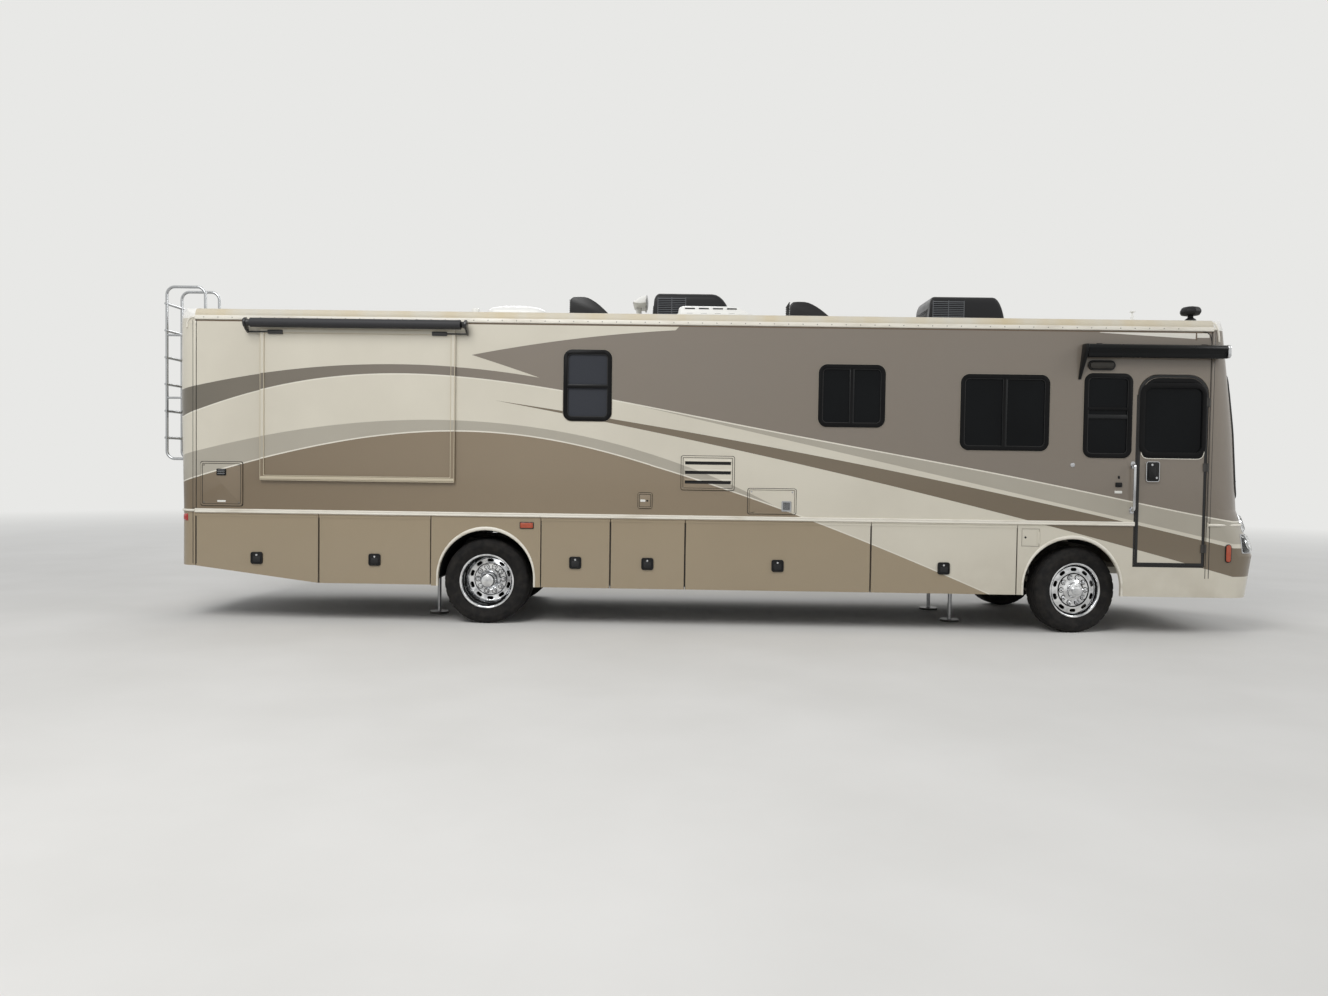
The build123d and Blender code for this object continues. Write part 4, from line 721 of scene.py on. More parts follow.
def coach_finish(name):
    """The coach's paint by its place on the body, with painted shade under each gutter and towards
    the rear.
    """
    material, place = finish(name)
    along, across, height = (place.part(axis) for axis in "XYZ")
    x = (along | -5.74) & 5.72
    taupe_foot = sweep_line(x, UPPER_SWEEP_FOOT)
    taupe_top = sweep_line(x & 0.648, TAUPE_TOP) + ((x + 0.35) | 0.0)
    arch_line = (x < -0.6).mix_value(sweep_line(x, ARCH_FRONT), sweep_line(x & 0.4, ARCH_REAR))
    tan = height < arch_line
    skirt = place.rise(BELT_TOP, BELT_TOP - 0.066)
    patches = place.noise(0.9, 4.0)
    # Painted shade: taupe and tan darken from the middle of the coach towards the rear.
    rear_shade = x.between(-2.0, -5.6)
    taupe = rear_shade.mix(TAUPE, TAUPE_SHADED)
    paint = tan.mix(CREAM, skirt.mix(rear_shade.mix(TAN, TAN_SHADED), SKIRT_TAN))
    walls = (along > REAR_SEAM) & (along < FRONT_SEAM)

    def above(box):
        """Between two places along the coach, from a height up."""
        return (height > box[2]) & (along > box[0]) & (along < box[1])

    bands = [
        ((height > arch_line) & (height < sweep_line(x, ARCH_TOP)), GREIGE),
        ((height > sweep_line(x, BROWN_FOOT)) & (height < sweep_line(x, BROWN_TOP)), BROWN),
        ((height > sweep_line(x, GREIGE_FOOT)) & (height < taupe_foot), GREIGE),
        ((height > taupe_foot) & (height < sweep_line(x, UPPER_SWEEP_TOP)), taupe),
        ((height > (sweep_line(x, TAUPE_TIP) | taupe_foot)) & (height < taupe_top)
         & (x > TAUPE_START), taupe),
        ((height > arch_line - PIN_WIDTH) & (height < arch_line), PIN_WHITE),
        ((height > taupe_foot - PIN_WIDTH) & (height < taupe_foot), PIN_WHITE),
        ((height > BROW_FOOT - (along - BROW_X) * BROW_SLOPE)
         & (along > BROW_X) & (along < 5.25), CREAM_WHITE),
        (above(CORNER_PATCH), CREAM_WHITE),
        (above(CORNER_LINE), GAP_AND_SHADOW_BROWN),
        # Painted shadow: a dark brown line just under each gutter.
        ((height > GUTTER_SHADOW_LINE[0]) & (height < GUTTER_SHADOW_LINE[1]) & walls, GAP_AND_SHADOW_BROWN),
        (((along > FRONT_SEAM) | (along < REAR_SEAM)) & (height > CAP_TOP), CAP_WHITE),
        ((across < -(WALL_FACE + 0.006)) & above(HINGE_STRIP), HINGE_BLACK),
    ]
    for mask, colour in bands:
        paint = mask.mix(paint, colour)
    paint = (patches.between(0.35, 0.65) * 0.1).mix(paint, scaled(TAN, 0.8))
    dust = place.rise(0.95, 0.35) * place.noise(3.5, 5.0).between(0.35, 0.75) * 0.35
    paint = dust.mix(paint, ROAD_DUST)
    inside = (across.sum("ABSOLUTE", across) < WALL_FACE - 0.015) & walls
    return surface(material, {
        "Base Color": inside.mix(paint, LINING),
        "Roughness": patches * 0.12 + dust * 0.4 + 0.3,
        "Coat Weight": (1 - inside) * 0.55,
        "Coat Roughness": 0.07,
        "Normal": place.noise(110, 2.0).relief(0.12, 0.0003),
    })


coach_paint = coach_finish("coach_paint")
bay_doors = [name for name in nodes if name.startswith("bay_door")]
clad(coach_paint, "right_wall", "left_wall", "front_cap", "rear_cap", "arch_panels",
     "wall_hatches", "entry_door", "heater_door", "fuel_door", "slide_right", "slide_left",
     *bay_doors)


# Belt rails, gutters and wheel-arch lips
# Rolled aluminium mouldings with a pale vinyl insert, a drip gutter screwed under each
# eave, and the soft pale edging pressed over the rim of each wheel arch.
def on_wall(side, proud=0.0):
    """A flat piece's place: x along, z up, and its thickness outwards from a wall."""
    return lambda u, v, w: Vector((u, side * (WALL_FACE + proud + w), v))


right_wall = on_wall(-1)


def stud(bm, profile, side, x, z, proud=0.0, sides=12):
    """A turned fitting that stands out from a wall."""
    dome(bm, profile, at(*on_wall(side)(x, z, proud)) @ spin(0 if side > 0 else 180), sides)


def rect(x0, x1, z0, z1):
    return [(x0, z0), (x1, z0), (x1, z1), (x0, z1)]


def grown(box, by):
    """A box of x0, x1, z0, z1, larger or smaller by as much all round."""
    return box[0] - by, box[1] + by, box[2] - by, box[3] + by


def panel(bm, place, box, corner, low, high, rim=None, inner=None, steps=6):
    """A flat panel with round corners, or a frame with a rim's width and inner corners."""
    hole = round_box(*grown(box, -rim), inner, steps) if rim else None
    plate(bm, round_box(*box, corner, steps), place, low, high, hole)


screw_tin = worn("screw_heads", srgb(120, 116, 108), 0.4, metal=0.8, grain=200)
trim_finish, place = finish("pale_moulding")
grime = place.noise(5.0, 5.0, (0.6, 1, 3)).between(0.5, 0.8) * 0.5
surface(trim_finish, {
    "Base Color": grime.mix(srgb(224, 219, 206), srgb(172, 158, 134)),
    "Roughness": grime * 0.3 + 0.32,
    "Normal": place.noise(90, 3.0).relief(0.15, 0.0004),
})

BELT_RAIL = [(0.0, 1.18), (0.01, 1.1805), (0.016, 1.185), (0.018, 1.192), (0.0155, 1.197),
             (0.0155, 1.209), (0.018, 1.214), (0.016, 1.221), (0.01, 1.2255), (0.0, 1.226)]
GUTTER = [(0.0, 3.285), (0.0095, 3.287), (0.0135, 3.292), (0.0135, 3.328), (0.011, 3.3325),
          (0.008, 3.3305), (0.007, 3.316), (0.0055, 3.316), (0.004, 3.333), (0.0, 3.333)]
GUTTER_PROUD = 0.0135
SCREW_PITCH = 0.155
door_low, door_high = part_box("entry_door")
SKIRT_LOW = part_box("arch_panels")[0].z


def rail(bm, side, section, x0, x1):
    """A section of (proud, height) points drawn out along a wall."""
    plate(bm, section, lambda u, v, w: on_wall(side)(w, v, u), x0, x1)


def arch_lip(bm, side, x, z, radius):
    """A half-round bead swept up one side of the arch, over and down, widest at the top."""
    section = [(cos(radians(a)), 0.012 * sin(radians(a))) for a in range(0, 181, 30)]
    foot = 0.011
    path = [(x - radius - foot, SKIRT_LOW, 180, 0)]
    path += [(x, z, angle, radius) for angle in range(180, -1, -6)]
    path += [(x + radius + foot, SKIRT_LOW, 0, 0)]
    rings = []
    for px, pz, angle, reach in path:
        half = foot + 0.009 * max(0.0, sin(radians(angle))) ** 2
        out = Vector((cos(radians(angle)), 0, sin(radians(angle))))
        middle = Vector((px, 0, pz)) + out * (reach + half if reach else 0)
        rings.append([on_wall(side)(spot.x, spot.z, proud) for spot, proud in (
            (middle + out * wide * half, proud) for wide, proud in section)])
    skin(bm, rings)


@as_piece("pale_trim", trim_finish)
def belt_rails_and_gutters(bm):
    rail(bm, -1, BELT_RAIL, REAR_SEAM, door_low.x - 0.01)
    rail(bm, -1, BELT_RAIL, door_high.x + 0.01, FRONT_SEAM)
    rail(bm, 1, BELT_RAIL, REAR_SEAM, FRONT_SEAM)
    for side in (-1, 1):
        rail(bm, side, GUTTER, REAR_SEAM, FRONT_SEAM)
        for arch in ARCHES:
            arch_lip(bm, side, *arch)


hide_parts("body_trim")


@as_piece("pale_trim", screw_tin, crease=30)
def gutter_screw_row(bm):
    """Small domed screws in a row along each gutter."""
    def screw_head(bm):
        dome(bm, [(0, -0.0022), (0.004, -0.0018), (0.0055, -0.0004), (0.0055, 0.001), (0, 0.001)],
             Matrix(), 10)

    count = int((FRONT_SEAM - REAR_SEAM - 0.2) / SCREW_PITCH)
    start = Vector((REAR_SEAM + 0.1, -(WALL_FACE + GUTTER_PROUD), 3.31))
    for stand in (Matrix(), at(REAR_SEAM + FRONT_SEAM, 0, 0) @ spin(180)):
        repeated(bm, row_tree, screw_head, screw_tin, stand,
                 Count=count, Start=start, Step=(SCREW_PITCH, 0, 0))


# Seams between the walls and the moulded end caps
# Each joint is covered by a narrow painted moulding over a bead of dark sealant. The
# gutter's end runs out as a drip rail that bends down the front cap.
sealant = worn("dark_sealant", srgb(28, 27, 26), 0.6, grain=150)
SEAMS = (REAR_SEAM - 0.006, FRONT_SEAM + 0.004)


def cap_faces(*names):
    """The surface of an end cap and its glass, to set small pieces on."""
    corners, faces = [], []
    for name in names:
        mesh = nodes[name].data
        first = len(corners)
        corners += [vertex.co for vertex in mesh.vertices]
        faces += [[first + k for k in face.vertices] for face in mesh.polygons]
    return BVHTree.FromPolygons(corners, faces)


front_skin = cap_faces("front_cap", "windshield")
rear_skin = cap_faces("rear_cap")


def on_cap(faces, spot, towards, proud=0.0):
    """The point of a cap met from a spot outside, and the way its surface faces."""
    towards = Vector(towards).normalized()
    hit, normal = faces.ray_cast(Vector(spot), towards)[:2]
    if normal.dot(towards) > 0:
        normal = -normal
    return hit + normal * proud, normal


def cap_front(y, z, proud=0.0):
    """The front cap's point met from straight ahead."""
    return on_cap(front_skin, (8, y, z), (-1, 0, 0), proud)[0]


def cap_side(faces, side, x, z, proud):
    """A cap's point met from one side of the coach."""
    return on_cap(faces, (x, side * 3, z), (0, -side, 0), proud)[0]


def tube(bm, points, radius, sides=10, closed=False):
    """A round bar along a smooth run of points."""
    points = [Vector(p) for p in points]
    rings = []
    side_way = None
    for number, point in enumerate(points):
        before = points[number - 1] if number or closed else point
        after = points[(number + 1) % len(points)] if number + 1 < len(points) or closed else point
        ahead = (after - before).normalized()
        if side_way is None:
            side_way = ahead.orthogonal().normalized()
        side_way = (side_way - ahead * side_way.dot(ahead)).normalized()
        other = ahead.cross(side_way)
        turns = [2 * pi * k / sides for k in range(sides)]
        rings.append([point + side_way * radius * cos(turn) + other * radius * sin(turn)
                      for turn in turns])
    skin(bm, rings, closed)


def eased_path(corners, radius, steps=6):
    """A run of points through corners, each corner rounded."""
    corners = [Vector(c) for c in corners]
    points = [corners[0]]
    for before, corner, after in zip(corners, corners[1:], corners[2:]):
        back = (before - corner).normalized()
        on = (after - corner).normalized()
        reach = min(radius, (before - corner).length / 2, (after - corner).length / 2)
        start, end = corner + back * reach, corner + on * reach
        for number in range(steps + 1):
            t = number / steps
            points.append((1 - t) ** 2 * start + 2 * t * (1 - t) * corner + t * t * end)
    return points + [corners[-1]]


@as_piece("coach_paint", coach_paint, bevel=0.003)
def seam_mouldings(bm):
    for side in (-1, 1):
        for x in SEAMS:
            plate(bm, rect(x - 0.015, x + 0.015, 1.235, 3.28), on_wall(side), -0.002, 0.0065)


@as_piece("black_steel", sealant)
def seam_sealant(bm):
    """Dark lines beside the seam mouldings, and the arc that leads under the front hoop."""
    for side in (-1, 1):
        for x in SEAMS:
            for edge in (x - 0.0185, x + 0.0185):
                plate(bm, rect(edge - 0.0025, edge + 0.0025, 0.62, 3.282), on_wall(side),
                      -0.002, 0.0025)
        arc = [on_wall(side)(x, z, 0.001) for x, z in (
            (5.323, 3.282), (5.377, 3.277), (5.41, 3.235), (5.418, 3.184))]
        tube(bm, eased_path(arc, 0.03, 4), 0.005, 8)


@as_piece("pale_trim", trim_finish)
def cap_drip_rails(bm):
    """A hoop down each side of the front cap, the gutter's run into it, and its tail behind."""
    for side in (-1, 1):
        hoop = [cap_side(front_skin, side, x, z, 0.002) for x, z in (
            (5.441, 3.385), (5.467, 3.346), (5.486, 3.29), (5.496, 3.24), (5.503, 3.175))]
        tube(bm, eased_path(hoop, 0.03, 4), 0.011, 8)
        gutter_end = on_wall(side)(FRONT_SEAM - 0.01, 3.312, 0.004)
        tube(bm, [gutter_end, cap_side(front_skin, side, 5.47, 3.309, 0.004)], 0.01, 8)
        tail = [on_wall(side)(REAR_SEAM + 0.01, 3.312, 0.004)]
        tail += [cap_side(rear_skin, side, x, z, 0.004)
                 for x, z in ((-5.64, 3.305), (-5.67, 3.27), (-5.68, 3.2))]
        tube(bm, eased_path(tail, 0.03, 4), 0.01, 8)


BELT_MIDDLE, BELT_BEAD = 1.203, 0.014


def belt_corner(faces, way, seam, side):
    """The belt's run along a cap's side and round its corner."""
    run = [cap_side(faces, side, seam + way * reach, BELT_MIDDLE, 0.002)
           for reach in (0.004, 0.06, 0.11)]
    return run + [
        on_cap(faces, (seam + way * 1.5, side * out, BELT_MIDDLE), (-way, 0, 0), 0.002)[0]
        for out in (1.235, 1.18, 1.1, 1.0, 0.85, 0.7)
    ]


@as_piece("pale_trim", trim_finish)
def cap_belt_rails(bm):
    """The belt rail carried round each moulded cap, broken by the radiator grille behind."""
    right, left = (belt_corner(front_skin, 1, FRONT_SEAM, side) for side in (-1, 1))
    middle = [cap_front(y, BELT_MIDDLE, 0.002) for y in (-0.4, 0.0, 0.4)]
    tube(bm, right + middle + left[::-1], BELT_BEAD, 8)
    for side in (-1, 1):
        tube(bm, belt_corner(rear_skin, -1, REAR_SEAM, side), BELT_BEAD, 8)


# Side windows and their frames
# Black powder-coated aluminium clamp frames round tinted safety glass. The glass is close
# to black from outside, and frosted in the bath window.
frame_black = worn("window_frame_black", srgb(10, 10, 11), 0.38, grain=240, relief=0.0002,
                   spread=0.25, Specular_IOR_Level=0.16)
tinted, place = finish("tinted_glass")
along = place.part("X")
bath = (along > -1.7) & (along < -0.9)
haze = place.noise(1.3, 3.0)
surface(tinted, {
    "Base Color": bath.mix(haze.mix(srgb(8, 9, 10), srgb(22, 24, 26)), srgb(58, 60, 65)),
    "Roughness": bath.mix_value(0.04, 0.28),
    "Specular IOR Level": 0.1,
})
clad(tinted, "side_glass", "entry_door_glass", "slide_left_glass")
bead = worn("glazing_bead", srgb(16, 16, 16), 0.55, grain=300)
rail_grey = worn("meeting_rail_grey", srgb(24, 25, 26), 0.4, grain=200, Specular_IOR_Level=0.3)
pale_sealant = worn("pale_sealant", srgb(150, 142, 128), 0.6, grain=200)

# The clamp frames keep their node's own shape, with its edges rounded.
bm = bmesh.new()
bm.from_mesh(nodes["window_frames"].data)
bmesh.ops.remove_doubles(bm, verts=bm.verts, dist=0.0001)
bmesh.ops.dissolve_limit(bm, angle_limit=radians(1.0), verts=bm.verts, edges=bm.edges)
clamps = placed("window_clamp_frames", bm)
clamps.data.materials.clear()
clamps.data.materials.append(frame_black)
round_edges(clamps, 0.003, 2)
seat(clamps, "coach", "black_frame")
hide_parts("window_frames")
SIDE_WINDOWS = [
    # side of the coach, then the frame's outer edges in x and z
    (-1, -1.561, -1.033, 2.235, 3.01),
    (-1, 1.205, 1.929, 2.206, 2.885),
    (-1, 2.74, 3.7, 1.977, 2.8),
    (-1, 4.066, 4.59, 1.912, 2.827),
    (1, -4.5, -3.776, 2.206, 2.885),
    (1, -1.561, -1.033, 2.235, 3.01),
    (1, 4.066, 5.026, 1.977, 2.8),
]


@as_piece("black_frame", bead, bevel=0.002)
def window_glazing_beads(bm):
    """The rubber bead inside each frame."""
    for side, *box in SIDE_WINDOWS:
        panel(bm, on_wall(side), grown(box, -0.045), 0.05, -0.012, 0.004, 0.008, 0.042)


@as_piece("coach_paint", pale_sealant)
def window_sealant_lines(bm):
    """The pale line of sealant outside each frame."""
    for side, *box in SIDE_WINDOWS:
        panel(bm, on_wall(side), grown(box, 0.005), 0.1, -0.001, 0.003, 0.015, 0.085)


@as_piece("black_frame", rail_grey, bevel=0.003)
def window_meeting_rails(bm):
    """The bar where two panes meet: upright in a wide window, level in a tall one."""
    for side, x0, x1, z0, z1 in SIDE_WINDOWS:
        x, z = (x0 + x1) / 2, (z0 + z1) / 2
        if (x1 - x0) > 0.9 * (z1 - z0):
            bar = rect(x - 0.026, x + 0.026, z0 + 0.05, z1 - 0.05)
        else:
            bar = rect(x0 + 0.05, x1 - 0.05, z - 0.03, z + 0.012)
        plate(bm, bar, on_wall(side), -0.012, 0.003)


# Windscreen
# Two bonded panes of lightly tinted laminated glass in a black rubber gasket, with a
# rubber-covered post between them and two long wiper arms parked along the foot.
clear_tint, place = finish("windscreen_tint")
surface(clear_tint, {
    "Base Color": srgb(70, 80, 80),
    "Roughness": place.noise(2.0, 3.0) * 0.04 + 0.01,
    "Alpha": 0.42,
    "Coat Weight": 1.0,
    "Coat Roughness": 0.02,
})
clad(clear_tint, "windshield")
gasket = worn("gasket_rubber", srgb(20, 20, 20), 0.6, grain=220)


def spaced(outline, pitch, whole=int):
    """Points along a closed outline, about a pitch apart."""
    for (u, v), (p, q) in zip(outline, outline[1:] + outline[:1]):
        count = max(1, whole(sqrt((p - u) ** 2 + (q - v) ** 2) / pitch))
        for k in range(count):
            yield u + (p - u) * k / count, v + (q - v) * k / count


@as_piece("black_frame", gasket)
def windscreen_gaskets(bm):
    rim = list(spaced(round_box(0.021, 1.128, 1.492, 2.868, 0.136, 5), 0.12, ceil))
    for side in (-1, 1):
        tube(bm, [cap_front(side * y, z) for y, z in rim], 0.014, 8, closed=True)


@as_piece("black_frame", frame_black)
def wiper_arms_and_blades(bm):
    for side in (-1, 1):
        foot = cap_front(side * 0.34, 1.44, 0.03)
        tip = cap_front(side * 0.6, 1.64, 0.04)
        dome(bm, [(0, 0.028), (0.03, 0.026), (0.036, 0), (0.036, -0.03), (0, -0.03)],
             at(*foot) @ spin(-90), 20)
        tube(bm, [foot, foot.lerp(tip, 0.5) + Vector((0.012, 0, 0)), tip], 0.011, 8)
        blade = [cap_front(side * (0.16 + 0.88 * k / 8), 1.6 + 0.075 * k / 8, 0.022)
                 for k in range(9)]
        tube(bm, blade, 0.01, 6)
        tube(bm, [p - Vector((0.012, 0, 0.004)) for p in blade], 0.006, 6)


# Baggage-door latches
# A black moulded paddle latch is let into the middle of each baggage door, low down,
# with a recessed paddle and a small plated key cylinder.
latch_black = worn("latch_black", srgb(12, 12, 13), 0.42, grain=180, spread=0.3,
                   Specular_IOR_Level=0.3)
paddle_grey = worn("latch_paddle_grey", srgb(30, 30, 31), 0.36, grain=120, spread=0.3,
                   Specular_IOR_Level=0.3)
plated = worn("plated_metal", srgb(205, 206, 208), 0.16, metal=1.0, grain=60, spread=0.05)
LATCH_Z = 0.69
for door in bay_doors:
    low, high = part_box(door)
    side = 1 if high.y > 0 else -1
    face = on_wall(side)
    x = (low.x + high.x) / 2
    middle = (x, x, LATCH_Z, LATCH_Z)

    def bezel(bm):
        panel(bm, face, grown(middle, 0.066), 0.024, -0.001, 0.0155, 0.014, 0.016)
        panel(bm, face, grown(middle, 0.053), 0.015, 0.0, 0.0108)

    def paddle(bm):
        lean = lambda u, v, w: face(u, v, w + 0.0045 * (LATCH_Z + 0.03 - v) / 0.06)
        panel(bm, lean, (x - 0.04, x + 0.04, LATCH_Z - 0.044, LATCH_Z + 0.018), 0.01,
              0.0109, 0.0135)

    def edges(bm):
        """The door's dark edges, each as tall as the door is there."""
        corners = [vertex.co for vertex in nodes[door].data.vertices]
        for x0 in (low.x + 0.0004, high.x - 0.0048):
            foot = min(corner.z for corner in corners if abs(corner.x - x0) < 0.02)
            plate(bm, rect(x0, x0 + 0.0044, foot + 0.004, high.z - 0.004), face, -0.0008, 0.0006)

    def key(bm):
        stud(bm, [(0, 0.004), (0.0065, 0.004), (0.0075, 0.0055), (0.0105, 0.005), (0.0115, 0),
                  (0, 0)], side, x, LATCH_Z + 0.034, 0.0108, 20)

    for part, material, build, bevel in (
        ("latch_bezel", latch_black, bezel, 0.003), ("latch_paddle", paddle_grey, paddle, 0.0008),
        ("latch_key", plated, key, 0), ("edge_strips", latch_black, edges, 0),
    ):
        piece(f"{door}_{part}", door, "black_frame", material, build, bevel=bevel)

# Entry door fittings
# The flush door has a black rubber edge seal, a window in a gloss black panel, a recessed
# latch handle with its deadbolt, and treads in the step well behind it.
seal = worn("door_seal", srgb(17, 17, 17), 0.65, grain=260)
gloss_black = worn("door_gloss_black", srgb(8, 8, 9), 0.16, grain=40, relief=0.0001, spread=0.2,
                   Specular_IOR_Level=0.18)
DOOR_X0, DOOR_X1, DOOR_Z0, DOOR_Z1 = 4.654, 5.402, 0.755, 2.814
DARK_FOOT = 1.915
HANDLE_X, HANDLE_Z = DOOR_X0 + 0.166, 1.772
HANDLE = (HANDLE_X - 0.066, HANDLE_X + 0.066, HANDLE_Z - 0.1035, HANDLE_Z + 0.1035)


def arched(x0, x1, z0, z1, radius, foot=0.0, steps=10):
    """A door's outline: round shoulders, and feet that are square or of a radius of their own."""
    points = []
    for cx, cz, bend, start in (
        (x0 + foot, z0 + foot, foot, 180), (x1 - foot, z0 + foot, foot, 270),
        (x1 - radius, z1 - radius, radius, 0), (x0 + radius, z1 - radius, radius, 90),
    ):
        for number in range(steps + 1 if bend else 1):
            angle = radians(start + 90 * number / steps)
            points.append((cx + bend * cos(angle), cz + bend * sin(angle)))
    return points


@as_piece("black_frame", seal, body="entry_door", bevel=0.0012)
def entry_door_edge_seal(bm):
    plate(bm, arched(DOOR_X0, DOOR_X1, DOOR_Z0, DOOR_Z1, 0.21), right_wall, -0.001, 0.0032,
          arched(DOOR_X0 + 0.032, DOOR_X1 - 0.028, DOOR_Z0 + 0.032, DOOR_Z1 - 0.026, 0.184))


@as_piece("black_frame", seal)
def entry_door_jamb_strip(bm):
    """The black strip left bare on the wall beside and below the door."""
    x0, x1, z0 = DOOR_X0 - 0.003, DOOR_X1 - 0.004, DOOR_Z0 - 0.003
    for strip in (rect(x0 - 0.014, x0, z0, 2.6), rect(x0 - 0.014, x1, z0 - 0.014, z0)):
        plate(bm, strip, right_wall, -0.001, 0.0012)


@as_piece("black_frame", gloss_black, body="entry_door", bevel=0.0015)
def entry_door_dark_panel(bm):
    """The gloss black panel round the window, rounded at the shoulders and the feet."""
    x0, x1 = DOOR_X0 + 0.04, DOOR_X1 - 0.03
    plate(bm, arched(x0, x1, DARK_FOOT, DOOR_Z1 - 0.03, 0.18, 0.08), right_wall, -0.001, 0.0042,
          arched(x0 + 0.012, x1 - 0.02, DARK_FOOT + 0.04, 2.722, 0.12, 0.12))


@as_piece("pale_trim", trim_finish, body="entry_door")
def entry_door_panel_bead(bm):
    """The pale bead that ends the dark panel below."""
    x0, x1, z0 = DOOR_X0 + 0.042, DOOR_X1 - 0.032, DARK_FOOT - 0.002
    run = [right_wall(x, z, 0.003) for x, z in ((x0, 2.15), (x0, z0), (x1, z0), (x1, 2.15))]
    tube(bm, eased_path(run, 0.08), 0.0045, 8)


@as_piece("black_frame", frame_black, body="entry_door", bevel=0.003)
def entry_door_window_frame(bm):
    """The clamp frame, and the flat ring that closes the gap to the glass behind it."""
    x0, x1, z0, z1 = DOOR_X0 + 0.044, DOOR_X1 - 0.03, 1.951, 2.706
    plate(bm, round_box(x0 - 0.026, x1 + 0.012, z0 - 0.026, z1 + 0.026, 0.125), right_wall,
          -0.001, 0.0095, round_box(*grown((x0, x1, z0, z1), -0.03), 0.075))
    panel(bm, right_wall, grown((x0, x1, z0, z1), -0.001), 0.1, -0.0118, -0.0005, 0.033, 0.07)


@as_piece("bright_rim", plated, body="entry_door", bevel=0.003)
def entry_handle_bezel(bm):
    panel(bm, right_wall, grown(HANDLE, 0.0075), 0.027, -0.001, 0.0245, 0.008, 0.02)


@as_piece("black_frame", latch_black, body="entry_door", bevel=0.0015)
def entry_handle_cup(bm):
    x, z = HANDLE_X, HANDLE_Z
    panel(bm, right_wall, HANDLE, 0.02, 0.021, 0.0228)
    lever = lambda u, v, w: right_wall(u, v, w + 0.006 * (z + 0.06 - v) / 0.12)
    panel(bm, lever, (x - 0.046, x + 0.03, z - 0.07, z + 0.045), 0.012, 0.0226, 0.0262)


@as_piece("bright_rim", plated, body="entry_door")
def entry_handle_keys(bm):
    for dx, dz in ((0.04, -0.066), (-0.01, 0.074)):
        stud(bm, [(0, 0.004), (0.008, 0.004), (0.009, 0.006), (0.012, 0.0055), (0.013, 0), (0, 0)],
             -1, HANDLE_X + dx, HANDLE_Z + dz, 0.0226, 20)


@as_piece("black_frame", seal)
def entry_step_treads(bm):
    """Ribbed rubber treads on the two steps inside the door."""
    def rib(bm):
        block(bm, (-0.33, -0.005, 0), (0.33, 0.005, 0.004))

    for y, z, count in ((-1.205, 0.751, 16), (-0.785, 0.965, 12)):
        repeated(bm, row_tree, rib, seal, at((door_low.x + door_high.x) / 2, y, z),
                 Count=count, Start=(0, 0, 0), Step=(0, 0.024, 0))


# Grab handle, door switch and porch light
# Beside the entry door: a long plated grab handle on two feet, a small switch over a bare
# plate, a round plated cap, and an oval porch light with a smoked lens.
white_plastic = worn("white_plastic", srgb(222, 221, 214), 0.42, grain=140, spread=0.06)
smoked_lens = worn("smoked_lens", srgb(42, 39, 34), 0.18, grain=30, spread=0.5,
                   Specular_IOR_Level=0.4)
GRAB_X, GRAB_FEET, GRAB_PROUD = 4.612, (1.352, 1.842), 0.058
PORCH = (4.1, 4.39, 2.857, 2.963)


@as_piece("bright_rim", plated)
def entry_grab_handle(bm):
    low, high = GRAB_FEET
    bar = [right_wall(GRAB_X, z, proud) for z, proud in (
        (low, -0.001), (low, GRAB_PROUD), (high, GRAB_PROUD), (high, -0.001))]
    tube(bm, eased_path(bar, 0.035), 0.0155, 14)
    for z in GRAB_FEET:
        panel(bm, right_wall, (GRAB_X - 0.024, GRAB_X + 0.024, z - 0.038, z + 0.038), 0.022,
              -0.001, 0.006)
        for dz in (-0.026, 0.026):
            stud(bm, [(0, 0.0035), (0.005, 0.003), (0.006, 0), (0, 0)], -1, GRAB_X, z + dz, 0.006)


@as_piece("black_frame", latch_black, bevel=0.0015)
def door_switch(bm):
    panel(bm, right_wall, (4.43, 4.5, 1.6, 1.65), 0.01, -0.001, 0.01)
    panel(bm, right_wall, (4.442, 4.488, 1.614, 1.636), 0.006, 0.009, 0.014)
    panel(bm, right_wall, (4.455, 4.475, 1.69, 1.722), 0.009, -0.001, 0.008)


@as_piece("pale_trim", white_plastic, bevel=0.0008)
def bare_switch_plate(bm):
    panel(bm, right_wall, (4.424, 4.504, 1.532, 1.56), 0.004, -0.001, 0.003)


@as_piece("bright_rim", plated)
def round_plated_cap(bm):
    stud(bm, [(0, 0.011), (0.009, 0.01), (0.0115, 0.0075), (0.013, 0.0075), (0.0145, 0.0095),
              (0.021, 0.008), (0.026, 0.002), (0.027, 0), (0, 0)], -1, 3.966, 1.832, -0.001, 36)


@as_piece("black_frame", latch_black, bevel=0.004)
def porch_light_base(bm):
    panel(bm, right_wall, PORCH, 0.0525, -0.001, 0.024, 0.016, 0.0365, steps=10)


@as_piece("clear_lens", smoked_lens, bevel=0.012, steps=4)
def porch_light_lens(bm):
    panel(bm, right_wall, grown(PORCH, -0.0155), 0.0365, 0.0, 0.034, steps=10)


# Fixed hatches and the louvred vent
# A utility hatch at the tail and a small fill door forward of it, both in rolled frames,
# and a vent of three hooded slots over the refrigerator.
slot_black = worn("slot_black", srgb(12, 12, 12), 0.8, grain=120)
HATCHES = (
    # outer edges in x and z, width of the frame, radius of its corners
    ((-5.522, -5.062, 1.259, 1.737), 0.017, 0.03),
    ((-0.731, -0.582, 1.298, 1.463), 0.012, 0.012),
    ((-0.266, 0.308, 1.505, 1.872), 0.016, 0.02),
)
HEATER_DOOR = (0.462, 0.984, 1.254, 1.528)
VENT_SLOTS = (1.598, 1.703, 1.806)
LOUVRE_FOOT, LOUVRE_PITCH = 1.602, 0.012


